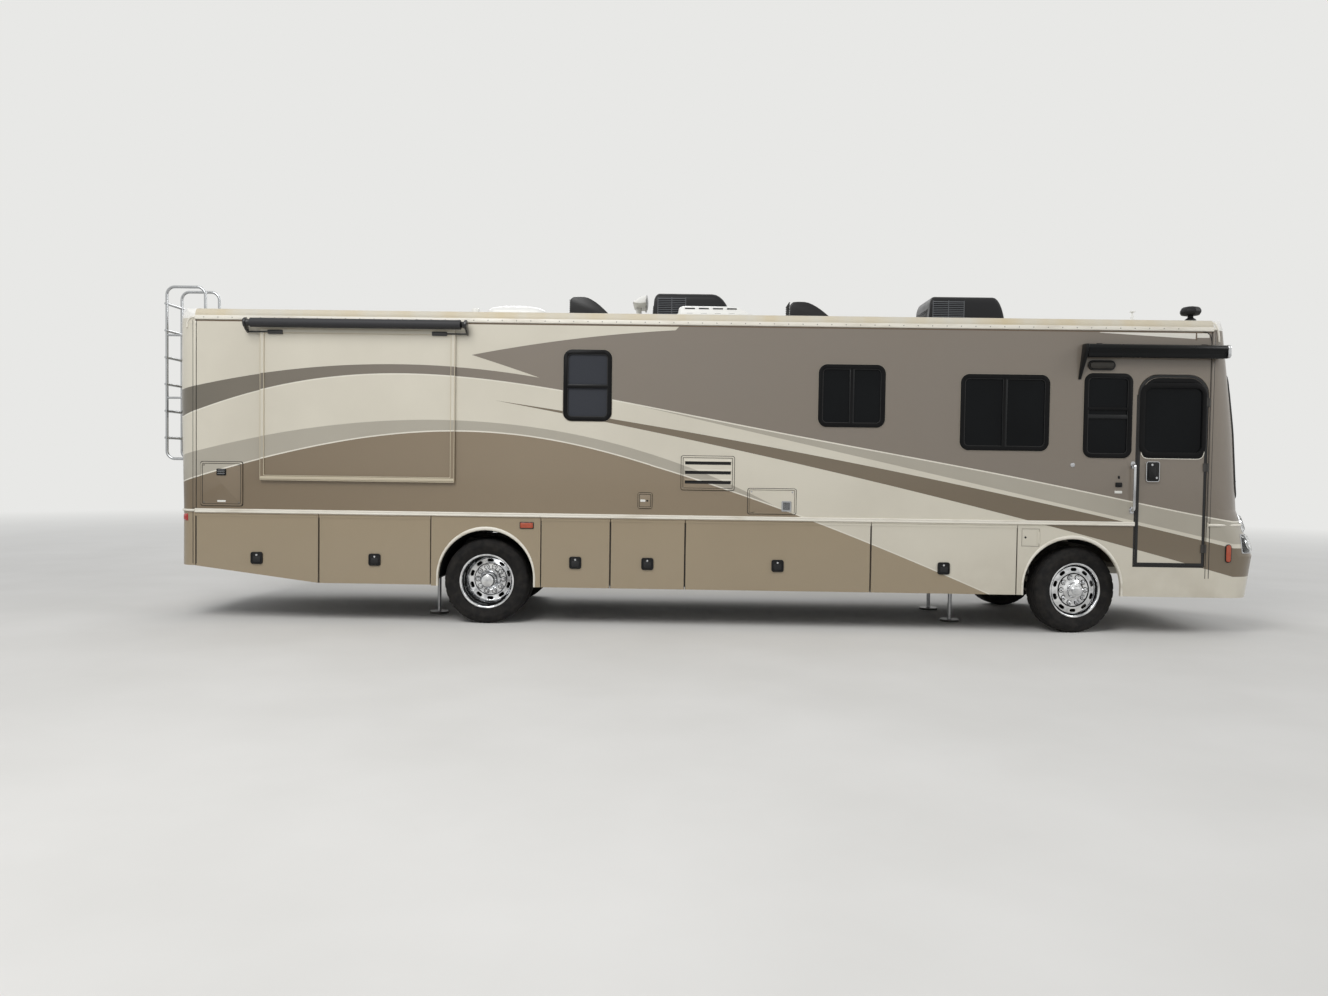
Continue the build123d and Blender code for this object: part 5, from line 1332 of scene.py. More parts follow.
@as_piece("coach_paint", coach_paint, bevel=0.0022)
def hatch_frames_and_leaves(bm):
    for box, wide, radius in HATCHES:
        panel(bm, right_wall, box, radius, -0.001, 0.0125, wide, max(radius - wide, 0.004))
        leaf = wide + 0.003
        panel(bm, right_wall, grown(box, -leaf), max(radius - leaf, 0.004), -0.001, 0.0085)


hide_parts("wall_hatches")


@as_piece("black_frame", slot_black)
def hatch_shadow_lines(bm):
    """The dark seam round each frame, and between it and its leaf."""
    for box in [box for box, _, _ in HATCHES] + [HEATER_DOOR]:
        panel(bm, right_wall, grown(box, 0.006), 0.024, -0.001, 0.001, 0.009, 0.018)
    for box, wide, _ in HATCHES:
        panel(bm, right_wall, grown(box, 0.001 - wide), 0.01, -0.001, 0.0089, 0.006, 0.007)


@as_piece("black_frame", slot_black)
def vent_slots(bm):
    for z in VENT_SLOTS:
        panel(bm, right_wall, (-0.226, 0.272, z - 0.026, z + 0.015), 0.006, 0.004, 0.0096)


@as_piece("coach_paint", coach_paint)
def vent_hoods(bm):
    """A hood over each slot, leaning out and closed at its ends."""
    for z in VENT_SLOTS:
        hood = [(0.0085, z + 0.028), (0.0105, z + 0.03), (0.022, z + 0.01), (0.02, z + 0.008)]
        rail(bm, -1, hood, -0.229, 0.275)
        end = [(0.0085, z + 0.028), (0.021, z + 0.009), (0.0085, z + 0.006)]
        for x in (-0.229, 0.272):
            rail(bm, -1, end, x, x + 0.003)


@as_piece("black_steel", screw_tin)
def hatch_screws(bm):
    for x0, x1, z0, z1 in ((-5.485, -5.1, 1.294, 1.702), (-0.246, 0.288, 1.524, 1.853)):
        for x, z in rect(x0, x1, z0, z1):
            stud(bm, [(0, 0.003), (0.007, 0.0025), (0.009, 0), (0, 0)], -1, x, z, 0.0084, 14)


@as_piece("black_frame", latch_black)
def hatch_louvre(bm):
    x0, x1, z0, z1 = -5.345, -5.24, LOUVRE_FOOT - LOUVRE_PITCH, 1.662
    panel(bm, right_wall, (x0, x1, z0, z1), 0.006, 0.008, 0.0145)
    for k in range(5):
        z = LOUVRE_FOOT + LOUVRE_PITCH * k
        blade = [(0.014, z + 0.004), (0.0195, z - 0.003), (0.0185, z - 0.0045), (0.014, z)]
        rail(bm, -1, blade, x0 + 0.008, x1 - 0.008)


@as_piece("black_frame", plated)
def hatch_louvre_lips(bm):
    for z in (1.606, 1.626, 1.646):
        rail(bm, -1, rect(0.014, 0.02, z, z + 0.0035), -5.332, -5.253)


@as_piece("pale_trim", white_plastic, bevel=0.0008)
def bare_hatch_plates(bm):
    panel(bm, right_wall, (-5.338, -5.246, 1.298, 1.318), 0.003, 0.008, 0.0095)
    panel(bm, right_wall, (-0.708, -0.652, 1.366, 1.392), 0.008, 0.008, 0.0125)


@as_piece("black_frame", latch_black)
def fill_door_lock(bm):
    stud(bm, [(0, 0.005), (0.006, 0.005), (0.0095, 0.004), (0.0105, 0), (0, 0)],
         -1, -0.632, 1.379, 0.0084, 18)


# Water heater and fuel doors
# Thin painted doors in rolled frames. The heater's has a wire-mesh exhaust port, the fuel
# door a finger latch at its rear edge.
PORT = (0.828, 0.934, 1.284, 1.396)
WIRE_PITCH, WIRE_COUNT = 0.009, 9


@as_piece("coach_paint", coach_paint, bevel=0.002)
def heater_door_frame(bm):
    panel(bm, right_wall, HEATER_DOOR, 0.022, -0.001, 0.006, 0.012, 0.01)


@as_piece("bright_rim", plated, body="heater_door")
def heater_exhaust_mesh(bm):
    """A frame over two layers of crossed wires."""
    def wire(bm):
        block(bm, (-0.0012, -0.001, -0.042), (0.0012, 0.001, 0.042))

    panel(bm, right_wall, PORT, 0.008, -0.001, 0.009, 0.014, 0.004)
    middle = at(*right_wall((PORT[0] + PORT[1]) / 2, (PORT[2] + PORT[3]) / 2, 0.006))
    for stand in (at(-0.036, 0, 0), at(0, 0, 0.036) @ spin(90, "Y")):
        repeated(bm, row_tree, wire, plated, middle @ stand,
                 Count=WIRE_COUNT, Start=(0, 0, 0), Step=(WIRE_PITCH, 0, 0))


@as_piece("black_frame", slot_black, body="heater_door")
def heater_exhaust_recess(bm):
    panel(bm, right_wall, grown(PORT, -0.008), 0.006, -0.001, 0.003)


@as_piece("bright_rim", plated, body="heater_door")
def heater_door_studs(bm):
    for x in (0.5, 0.946):
        stud(bm, [(0, 0.004), (0.008, 0.0035), (0.01, 0), (0, 0)], -1, x, 1.494, -0.0005, 16)


@as_piece("black_frame", latch_black, body="fuel_door")
def fuel_door_latch(bm):
    stud(bm, [(0, 0.004), (0.008, 0.004), (0.011, 0.0025), (0.012, 0), (0, 0)],
         -1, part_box("fuel_door")[0].x + 0.036, 1.04, -0.0005, 18)


# Slide-out rooms
# Each room's front is a framed panel: a rolled moulding all round laps the wall, with a
# rubber wiper behind it. The living room's front has two windows of its own.
SLIDE_SEAT = 0.0003
SLIDES = (("slide_right", -1, (-4.862, -2.736, 1.545, 3.19)),
          ("slide_left", 1, (-0.06, 3.52, 1.29, 3.19)))
# A pale tone for the painted highlights on the slide-out mouldings.
slide_highlight_paint = worn("slide_moulding_highlight", srgb(188, 177, 153), 0.35, grain=110, spread=0.05,
                   Coat_Weight=0.4)
for name, side, front in SLIDES:
    x0, x1, z0, z1 = front
    room_face = on_wall(side, SLIDE_SEAT)
    within = (x0 + 0.046, x1 - 0.046, z0 + 0.056, z1 - 0.046)

    def slide_moulding(bm):
        plate(bm, round_box(*grown(front, 0.004), 0.012), room_face, 0.014, 0.036,
              round_box(*within, 0.006))

    def moulding_beads(bm):
        """Painted highlights: pale strips down both edges of the moulding, and along its broad
        foot.
        """
        for edge, wide in ((front, 0.006), (within, -0.006)):
            panel(bm, room_face, edge, 0.012, 0.03, 0.0375, wide, 0.008)
        panel(bm, room_face, (x0 + 0.006, x1 - 0.006, z0 + 0.012, z0 + 0.044), 0.01,
              0.03, 0.0385)

    def slide_wiper(bm):
        panel(bm, on_wall(side), grown(front, -0.002), 0.012, -0.001, 0.004, 0.028, 0.006)

    piece(f"{name}_moulding", name, "coach_paint", coach_paint, slide_moulding, bevel=0.009,
          steps=3)
    piece(f"{name}_moulding_beads", name, "coach_paint", slide_highlight_paint, moulding_beads,
          bevel=0.0012)
    piece(f"{name}_wiper_seal", "coach", "black_frame", seal, slide_wiper)


@as_piece("black_frame", frame_black, body="slide_left", bevel=0.002)
def living_window_frames(bm):
    """A frame round each window of the living room, and the bar where its panes meet."""
    face = on_wall(1, SLIDE_SEAT + 0.024)
    for x0, x1 in ((0.32, 1.28), (2.2, 3.16)):
        panel(bm, face, grown((x0, x1, 1.977, 2.8), 0.003), 0.097, -0.001, 0.0105, 0.05, 0.05)
        x = (x0 + x1) / 2
        panel(bm, face, (x - 0.014, x + 0.014, 2.007, 2.77), 0.004, -0.02, 0.009)


# Awnings
# Each slide-out has a black topper cloth wound on an aluminium roller between two arms.
# The entry awning is a powered one, closed in a long black case on two brackets.
awning_cloth, place = finish("wound_awning_cloth")
weave = place.noise(420, 2.0, (1, 4, 4))
surface(awning_cloth, {
    "Base Color": weave.mix(srgb(24, 24, 26), srgb(46, 46, 49)),
    "Roughness": weave * 0.2 + 0.55,
    "Normal": weave.relief(0.4, 0.0008),
})
arm_black = worn("awning_arm_black", srgb(18, 18, 19), 0.35, grain=120, Coat_Weight=0.4)
case_black = worn("awning_case_black", srgb(9, 10, 11), 0.3, grain=90, spread=0.2,
                  Specular_IOR_Level=0.2)
ROLLER_OUT, ROLLER_Z = 1.3793, 3.245
for name, side, _ in SLIDES:
    low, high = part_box(name.replace("slide", "slide_topper"))
    room_face = on_wall(side, SLIDE_SEAT + 0.0243)

    def wound_cloth(bm):
        """The cloth on its roller, its free edge standing a little proud."""
        section = []
        for k in range(40):
            angle, swell = 2 * pi * k / 40, 0.0525 - 0.004 * k / 40
            section.append((side * ROLLER_OUT + swell * cos(angle),
                            ROLLER_Z + swell * sin(angle)))
        plate(bm, section, lambda u, v, w: Vector((w, u, v)), low.x + 0.075, high.x - 0.075)

    def topper_arms(bm):
        """At each end: the roller's end cap, an arm to the room's front, a stay and its grip."""
        z = ROLLER_Z
        for x, inward in ((low.x, 1), (high.x, -1)):
            dome(bm, [(0, 0), (0.03, 0.001), (0.052, 0.004), (0.055, 0.012), (0.055, 0.03),
                      (0.04, 0.034), (0.03, 0.08), (0, 0.08)],
                 at(x, side * ROLLER_OUT, z) @ spin(-90 * inward), 32)
            (arm0, arm1), (stay0, stay1), (grip0, grip1) = (
                sorted((x + inward * near, x + inward * far))
                for near, far in ((0.004, 0.026), (0.01, 0.26), (0.235, 0.4)))
            arm = [(0.125, z - 0.02), (0.06, z - 0.075), (0.0, z - 0.105), (0.0, z - 0.06),
                   (0.02, z + 0.03), (0.09, z + 0.052), (0.125, z + 0.03)]
            plate(bm, arm, lambda u, v, w: room_face(w, v, u), arm0, arm1)
            tube(bm, [room_face(end, z - 0.09, 0.01) for end in (stay0, stay1)], 0.0095, 12)
            panel(bm, room_face, (grip0, grip1, z - 0.112, z - 0.068), 0.008, 0.0, 0.022)

    hand = name.split("_")[1]
    piece(f"topper_cloth_{hand}", name, "awning_case", awning_cloth, wound_cloth, crease=25)
    arms = piece(f"topper_arms_{hand}", name, "awning_case", arm_black, topper_arms, bevel=0.002)
    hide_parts(f"slide_topper_{hand}")

CASE_REAR, CASE_FRONT = 4.035, 5.57
CASE_FOOT, CASE_TOP = 2.988, 3.136


def along_case(u, v, w):
    """A section of the case: how far it stands off the wall and its height."""
    return right_wall(w, v, u)


@as_piece("awning_case", case_black, bevel=0.0015, crease=30)
def entry_awning_case(bm):
    """The case's extrusion: a flat back, a rounded nose and the lead rail's slot below."""
    z0, z1 = CASE_FOOT, CASE_TOP
    back, nose = 0.02, 0.125
    section = [(back, z0 + 0.012), (back, z1 - 0.012), (back + 0.02, z1),
               (nose - 0.045, z1 - 0.004)]
    for k in range(7):
        angle = radians(80 - 20 * k)
        section.append((nose - 0.04 + 0.04 * cos(angle), z1 - 0.05 + 0.044 * sin(angle)))
    section += [(nose - 0.022, z0 + 0.046), (nose - 0.02, z0 + 0.006), (nose - 0.032, z0),
                (nose - 0.04, z0 + 0.006), (nose - 0.046, z0 + 0.016), (back + 0.012, z0 + 0.004)]
    plate(bm, section, along_case, CASE_REAR + 0.03, CASE_FRONT - 0.034)
    bracket = [(-0.001, z0 + 0.03), (-0.001, z1 + 0.012), (0.008, z1 + 0.012),
               (0.02, z1 - 0.01), (back + 0.003, z1 - 0.02), (back + 0.003, z0 + 0.03)]
    for x in (CASE_REAR + 0.15, CASE_FRONT - 0.26):
        plate(bm, bracket, along_case, x, x + 0.06)


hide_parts("entry_awning")


@as_piece("awning_case", case_black, bevel=0.006, steps=3)
def awning_rear_cheek(bm):
    """The moulded cheek at the case's rear end, sweeping down to a foot on the wall."""
    z0, z1 = CASE_FOOT, CASE_TOP
    outline = [(0, z1), (0.118, z1 - 0.006), (0.128, z1 - 0.06), (0.112, z0 - 0.004),
               (0.07, z0 - 0.09), (0.03, z0 - 0.18), (0.012, z0 - 0.23), (0, z0 - 0.235)]
    lean = lambda u, v, w: along_case(u, v, w - max(0.0, z1 - v) * 0.1)
    plate(bm, outline, lean, CASE_REAR + 0.001, CASE_REAR + 0.032)


@as_piece("bright_rim", plated, bevel=0.012, steps=4)
def awning_front_cap(bm):
    panel(bm, along_case, (0.018, 0.129, CASE_FOOT + 0.004, CASE_TOP - 0.001), 0.036,
          CASE_FRONT - 0.036, CASE_FRONT - 0.001)


# Roof skin
# One sheet of pale rubber membrane over the crowned roof, stained by rain along its
# curved edges, with lap sealant run round everything that is screwed through it.
membrane, place = finish("roof_membrane")
streaks = place.noise(2.6, 5.0, (1.0, 0.18, 0.18))
edge_stain = place.rise(3.455, 3.4) * streaks.between(0.25, 0.75)
top = streaks.mix(srgb(196, 192, 180), srgb(216, 213, 203))
surface(membrane, {
    "Base Color": place.rise(3.33, 3.322).mix(edge_stain.mix(top, srgb(196, 180, 146)), CREAM),
    "Roughness": place.noise(30, 3.0) * 0.2 + 0.55,
    "Normal": place.noise(240, 3.0).relief(0.3, 0.0006),
})
clad(membrane, "roof")

# Air conditioners
# Two rooftop units under moulded black shrouds on sheet-steel pans. The condenser
# breathes through rows of horizontal slats in the shroud's sides and tail.
shroud_black = worn("shroud_black", srgb(22, 22, 24), 0.5, grain=200, spread=0.3,
                    Specular_IOR_Level=0.3)
shroud_slots = worn("shroud_slots", srgb(8, 8, 9), 0.85, grain=90)
# A paler grey than the shroud, as painted highlight on the slats.
slat_highlight_grey = worn("shroud_slat_highlight_grey", srgb(84, 86, 89), 0.4, grain=120)
ROOF_UNDER = 3.4
SHROUD_HALF = 0.342
SHROUDS = (
    # rear x, front x, reach of the nose, first slat, last slat
    (-0.635, 0.31, 0.24, -0.56, -0.245),
    (2.6, 3.51, 0.14, 2.665, 3.015),
)
SLAT_ROWS = 10
SLAT_FOOT, SLAT_PITCH = 3.52, 0.0215


@as_piece("black_frame", shroud_black, bevel=0.006, crease=40)
def air_conditioner_shrouds(bm):
    for x0, x1, nose, _, _ in SHROUDS:
        quarter = [pi / 2 * k / 8 for k in range(9)]
        line = [(x0 + 0.007, 3.49), (x0 + 0.015, 3.61)]
        line += [(x0 + 0.09 - 0.068 * cos(turn), 3.7 + 0.098 * sin(turn)) for turn in quarter]
        line += [(x1 - nose + nose * 0.985 * sin(turn), 3.41 + 0.388 * cos(turn))
                 for turn in quarter[:-1]]
        line.append((x1 - 0.003, 3.47))
        rings = []
        for x, top in line:
            arch = round_box(-SHROUD_HALF, SHROUD_HALF, ROOF_UNDER, top,
                             min(0.075, (top - ROOF_UNDER) / 2.2))
            rings.append([(x, y, z) for y, z in arch])
        skin(bm, rings)


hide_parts("roof_air_conditioners")


def shroud_sides():
    """Each side of each unit, and where its slats begin and end."""
    return [(side, first, last) for _, _, _, first, last in SHROUDS for side in (-1, 1)]


@as_piece("black_frame", shroud_slots)
def air_conditioner_slots(bm):
    for side, first, last in shroud_sides():
        y0, y1 = sorted((side * 0.3405, side * 0.3432))
        for k in range(SLAT_ROWS):
            z = SLAT_FOOT + SLAT_PITCH * k
            block(bm, (first, y0, z), (last, y1, z + 0.0125))


@as_piece("black_frame", slat_highlight_grey)
def air_conditioner_slats(bm):
    """Slats that lean out over the openings, held by three uprights a side, paler than the shroud
    as painted highlight.
    """
    for side, first, last in shroud_sides():
        for k in range(SLAT_ROWS + 1):
            z = SLAT_FOOT + SLAT_PITCH * k - 0.009
            plate(bm, [(0.3415, z + 0.0095), (0.3495, z - 0.0005), (0.3495, z - 0.002),
                       (0.3415, z + 0.002)],
                  lambda u, v, w: Vector((w, side * u, v)), first - 0.008, last + 0.008)
        y0, y1 = sorted((side * 0.3415, side * 0.347))
        for x in (first - 0.006, (first + last) / 2, last + 0.006):
            block(bm, (x - 0.005, y0, SLAT_FOOT - 0.01),
                  (x + 0.005, y1, SLAT_FOOT + SLAT_PITCH * 10.4))


@as_piece("black_frame", shroud_black, bevel=0.0015)
def air_conditioner_tail_slats(bm):
    for x0, _, _, _, _ in SHROUDS:
        for k in range(7):
            z = 3.52 + 0.021 * k
            x = x0 + 0.02 * (z - 3.38) / 0.33
            block(bm, (x - 0.006, -0.25, z), (x + 0.01, 0.25, z + 0.007))


def roof_screw(bm, profile, x, y, z, side, sides):
    """A screw in the side of a roof fitting."""
    dome(bm, profile, at(x, y, z) @ spin(0 if side > 0 else 180), sides)


@as_piece("bright_rim", plated)
def air_conditioner_screws(bm):
    for x0, x1, nose, _, _ in SHROUDS:
        for side in (-1, 1):
            for x in (x0 + 0.1, x1 - nose - 0.06):
                roof_screw(bm, [(0, 0.0035), (0.009, 0.003), (0.011, 0), (0, 0)],
                           x, side * SHROUD_HALF, 3.495, side, 14)


# Roof vents, skylight and aerials
# Black vented covers over the two roof fans, a white domed vent, a low skylight, the
# folded television aerial, and an eight-sided dish housing on its post.
white_gel = worn("white_plastic_weathered", srgb(230, 229, 224), 0.35, grain=90, spread=0.05)
fan_black = worn("vent_cover_black", srgb(26, 25, 26), 0.28, grain=60, spread=0.3,
                 Specular_IOR_Level=0.4)
lap_sealant = worn("lap_sealant", srgb(204, 201, 190), 0.5, grain=70, spread=0.1)
VENT_COVERS = (
    # rear x, front x, right y, left y, top z
    (-1.585, -1.105, -0.54, -0.1, 3.707),
    (0.96, 1.45, -0.54, -0.1, 3.68),
)
DOMED_VENT = (-2.555, -1.865, -0.56, -0.06)
SKYLIGHT = (-0.34, 0.51, -0.9, -0.4)
AERIAL_FOOT = (-0.9, -0.72, -0.045, 0.145)
AERIAL_HEAD = ((-0.87, 3.7), (-0.852, 3.712), (-0.8, 3.752), (-0.771, 3.771),
               (-0.73, 3.781), (-0.694, 3.787), (-0.698, 3.74), (-0.704, 3.691),
               (-0.745, 3.683), (-0.787, 3.678), (-0.835, 3.682), (-0.862, 3.69))


@as_piece("black_frame", fan_black, bevel=0.014, steps=3)
def fan_vent_covers(bm):
    for x0, x1, y0, y1, top in VENT_COVERS:
        curve = [(x0 + 0.002, 3.4), (x0 + 0.004, top - 0.06), (x0 + 0.016, top - 0.022),
                 (x0 + 0.045, top - 0.004), (x0 + 0.1, top), (x0 + 0.17, top - 0.001)]
        for t in (0.15, 0.3, 0.45, 0.6, 0.75, 0.88, 1.0):
            curve.append((x0 + 0.17 + (x1 - x0 - 0.174) * t, top - (top - 3.49) * t ** 1.55))
        curve.append((x1 - 0.002, 3.4))
        plate(bm, curve, sideways, y0, y1)


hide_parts("roof_fittings")


@as_piece("black_frame", shroud_slots)
def fan_vent_grilles(bm):
    for x0, _, y0, y1, _ in VENT_COVERS:
        for k in range(8):
            z = 3.5 + 0.024 * k
            block(bm, (x0 - 0.004, y0 + 0.035, z), (x0 + 0.008, y1 - 0.035, z + 0.008))
        for x in (x0 + 0.06, x0 + 0.3):
            for y, side in ((y0, -1), (y1, 1)):
                roof_screw(bm, [(0, 0.004), (0.006, 0.0035), (0.008, 0), (0, 0)],
                           x, y, 3.505, side, 12)


def low_dome(bm, x0, x1, y0, y1, levels, corner):
    """A moulded cover, by how far each level stands in at the rear, front and sides."""
    rings = []
    for rear, front, side, z in levels:
        radius = min(corner + side * 0.3, (y1 - y0) / 2 - side - 0.004)
        outline = round_box(x0 + rear, x1 - front, y0 + side, y1 - side, radius)
        rings.append([(x, y, z) for x, y in outline])
    skin(bm, rings)


@as_piece("pale_trim", white_gel, crease=50)
def domed_roof_vent(bm):
    levels = [(0, 0, 0, ROOF_UNDER)]
    for turn in [pi / 2 * k / 13 for k in range(14)]:
        levels.append([depth * (1 - cos(turn)) for depth in (0.2, 0.27, 0.19)]
                      + [3.515 + 0.096 * sin(turn)])
    low_dome(bm, *DOMED_VENT, levels, 0.11)


@as_piece("pale_trim", white_gel, crease=24)
def roof_skylight(bm):
    low_dome(bm, *SKYLIGHT, (
        (0, 0, 0, 3.4), (0, 0, 0, 3.47), (0.012, 0.022, 0.024, 3.474),
        (0.016, 0.04, 0.027, 3.5), (0.022, 0.095, 0.034, 3.535), (0.034, 0.135, 0.048, 3.554),
        (0.055, 0.17, 0.07, 3.565), (0.085, 0.205, 0.1, 3.569),
        (0.12, 0.24, 0.135, 3.57)), 0.035)


@as_piece("black_frame", slot_black, bevel=0.002)
def skylight_slots(bm):
    for k in range(4):
        x = -0.25 + 0.157 * k
        block(bm, (x, -0.8725, 3.527), (x + 0.112, -0.86, 3.54))
        block(bm, (x + 0.02, -0.8755, 3.476), (x + 0.09, -0.86, 3.482))


@as_piece("pale_trim", white_gel, bevel=0.004, crease=30)
def folded_aerial(bm):
    """Folded television aerial: a hinged mast, its strut and the wedge-shaped head."""
    def upwards(u, v, w):
        return u, v, w

    panel(bm, upwards, AERIAL_FOOT, 0.02, 3.44, 3.492)
    panel(bm, upwards, (-0.838, -0.772, 0.03, 0.07), 0.012, 3.48, 3.69)
    tube(bm, [(-0.872, 0.05, 3.485), (-0.842, 0.05, 3.56), (-0.818, 0.05, 3.69)], 0.009)
    tube(bm, [(-0.716, 0.0, 3.7), (-0.722, 0.0, 3.64), (-0.712, 0.0, 3.618)], 0.011)
    rings = []
    for y, share in ((-0.248, 0.8), (-0.242, 0.9), (-0.225, 0.97), (-0.19, 1.0), (0.29, 1.0),
                     (0.325, 0.97), (0.342, 0.9), (0.348, 0.8)):
        rings.append([(-0.778 + (x + 0.778) * share, y, 3.732 + (z - 3.732) * share)
                      for x, z in AERIAL_HEAD])
    skin(bm, rings)


def upright(bm, profile, x, y, sides):
    """A turned fitting on the roof, its profile given as (radius, height)."""
    dome(bm, [(r, -z) for r, z in profile], at(x, y, 0) @ spin(-90, "X"), sides)


@as_piece("black_frame", shroud_black, bevel=0.005, crease=30)
def dish_housing(bm):
    shell = [(0, 3.614), (0.045, 3.613), (0.078, 3.606), (0.1, 3.592), (0.113, 3.568),
             (0.113, 3.546), (0.1, 3.524), (0.076, 3.516), (0, 3.515)]
    post = [(0, 3.53), (0.028, 3.53), (0.03, 3.49), (0.058, 3.47), (0.064, 3.4), (0, 3.4)]
    upright(bm, shell, 5.375, -0.9, 8)
    upright(bm, post, 5.375, -0.9, 24)


@as_piece("pale_trim", white_gel, crease=30)
def drain_pipe_caps(bm):
    """Hooded caps over the drain pipes, and the flat-topped stub of a wind sensor in front."""
    for x, y in ((-2.676, -0.52), (1.9, 0.7)):
        upright(bm, [(0, 3.566), (0.03, 3.563), (0.044, 3.551), (0.047, 3.53), (0.046, 3.505),
                     (0.034, 3.5), (0.032, 3.486), (0.056, 3.48), (0.06, 3.44), (0, 3.44)],
                x, y, 28)
    upright(bm, [(0, 3.612), (0.03, 3.611), (0.032, 3.602), (0.012, 3.597), (0.013, 3.56),
                 (0.026, 3.5), (0.034, 3.44), (0, 3.44)], 4.884, -0.56, 24)


@as_piece("pale_trim", lap_sealant)
def roof_sealant_beads(bm):
    """A bead of lap sealant laid round each fitting's foot."""
    roof_skin = cap_faces("roof", "front_cap", "rear_cap")
    feet = [(x0, x1, -SHROUD_HALF, SHROUD_HALF) for x0, x1, _, _, _ in SHROUDS]
    feet += [cover[:4] for cover in VENT_COVERS]
    feet += [DOMED_VENT, SKYLIGHT, AERIAL_FOOT, (5.32, 5.43, -0.955, -0.845)]
    for foot in feet:
        around = spaced(round_box(*grown(foot, 0.012), 0.03, 3), 0.06)
        tube(bm, [on_cap(roof_skin, (x, y, 4.5), (0, 0, -1))[0] for x, y in around],
             0.01, 6, closed=True)


# Rear ladder
# Bright drawn aluminium tube, its round rungs sleeved through the rails, on cast feet
# bolted to the rear cap and the roof.
ladder_tin = worn("ladder_aluminium", srgb(186, 188, 190), 0.26, metal=1.0, grain=180, spread=0.06)
clad(ladder_tin, "rear_ladder")


def facing(spot, normal):
    """Where a turned fitting stands on a surface, its reach along the surface's normal."""
    return at(*spot) @ Vector((0, 1, 0)).rotation_difference(normal).to_matrix().to_4x4()


@as_piece("bright_rim", ladder_tin)
def ladder_feet(bm):
    for y in (-0.96, -0.62):
        for z in (1.765, 2.45, 3.15):
            stand = facing(*on_cap(rear_skin, (-8, y, z), (1, 0, 0)))
            dome(bm, [(0, 0.02), (0.018, 0.019), (0.022, 0.01), (0.036, 0.006), (0.038, -0.004),
                      (0, -0.004)], stand, 24)
            for half_turn in (0, 180):
                dome(bm, [(0, 0.004), (0.005, 0.0035), (0.006, 0), (0, 0)],
                     stand @ spin(half_turn, "Y") @ at(0.029, 0.006, 0), 10)


@as_piece("bright_rim", ladder_tin, crease=20)
def ladder_rung_sleeves(bm):
    """Ribbed plastic sleeves on the rungs."""
    ribs = [(0.0158 if k % 2 else 0.0148, -0.925 + 0.27 * k / 23) for k in range(24)]
    for z in (2.0, 2.3, 2.6, 2.9, 3.2, 3.5):
        dome(bm, [(0, -0.926)] + ribs + [(0, -0.654)], at(-6.06, 0, z), 18)


# Lamps and markers
# Moulded acrylic lenses in black bezels: amber and red markers, clearance lamps along the
# tops of the caps, bright bowls behind clear covers in front, tail lamps behind.
def lens(name, colour, glow):
    """Tinted acrylic with fine moulded flutes."""
    material, place = finish(name)
    flutes = place.sum("SINE", place.part("Z") * 700.0)
    return surface(material, {
        "Base Color": place.noise(30, 3.0).mix(scaled(colour, 0.75), scaled(colour, 1.15)),
        "Roughness": place.noise(60, 2.0) * 0.08 + 0.1,
        "Emission Color": colour,
        "Emission Strength": glow,
        "Coat Weight": 1.0,
        "Coat Roughness": 0.03,
        "Normal": flutes.relief(0.35, 0.0008),
    })


amber_lens = lens("amber_lens", srgb(166, 60, 14), 0.03)
red_lens = lens("red_lens", srgb(168, 22, 16), 0.05)
white_lens = lens("white_lens", srgb(206, 208, 206), 0)
lamp_cover, place = finish("clear_lamp_cover")
surface(lamp_cover, {
    "Base Color": (0.97, 0.98, 0.98, 1.0),
    "Roughness": place.noise(25, 3.0) * 0.05 + 0.01,
    "Transmission Weight": 1.0,
    "IOR": 1.38,
})
CORNER_X, CORNER_Y, CORNER_R = FRONT_SEAM + 0.307, 0.98, 0.3
HEAD_LAMPS = (
    # inner edge, turn round the corner, foot, top, then each bowl's place along it and radius
    (0.868, 1.3, 0.904, 1.101, ((0.12, 0.078), (0.41, 0.078), (0.7, 0.07))),
    (0.908, 1.02, 1.129, 1.316, ((0.17, 0.07), (0.53, 0.07), (0.84, 0.052))),
)
SIDE_MARKERS = ((FRONT_SEAM + 0.195, FRONT_SEAM + 0.262, 0.798, 0.998, 0.033),
                (-2.021, -1.867, 1.054, 1.128, 0.012))


def skin_sheet(bm, spot_of, low, high, count=16, levels=8):
    """A sheet that follows a cap between two heights over it, closed all round."""
    layers = []
    for lift in (low, high):
        layers.append([[bm.verts.new(spot_of(i / count, j / levels, lift(i / count, j / levels)))
                        for j in range(levels + 1)] for i in range(count + 1)])
    under, over = layers
    for grid in layers:
        for i in range(count):
            for j in range(levels):
                bm.faces.new([grid[i][j], grid[i + 1][j], grid[i + 1][j + 1], grid[i][j + 1]])
    around = [(i, 0) for i in range(count)] + [(count, j) for j in range(levels)]
    around += [(i, levels) for i in range(count, 0, -1)] + [(0, j) for j in range(levels, 0, -1)]
    for (i, j), (m, n) in zip(around, around[1:] + around[:1]):
        bm.faces.new([under[i][j], under[m][n], over[m][n], over[i][j]])


def crowned(height, edge=0.002):
    """A lens's height: full over its middle, falling off close to its edges."""
    return lambda u, v: edge + height * (1 - (2 * u - 1) ** 6) * (1 - (2 * v - 1) ** 6)


def even(height):
    return lambda u, v: height


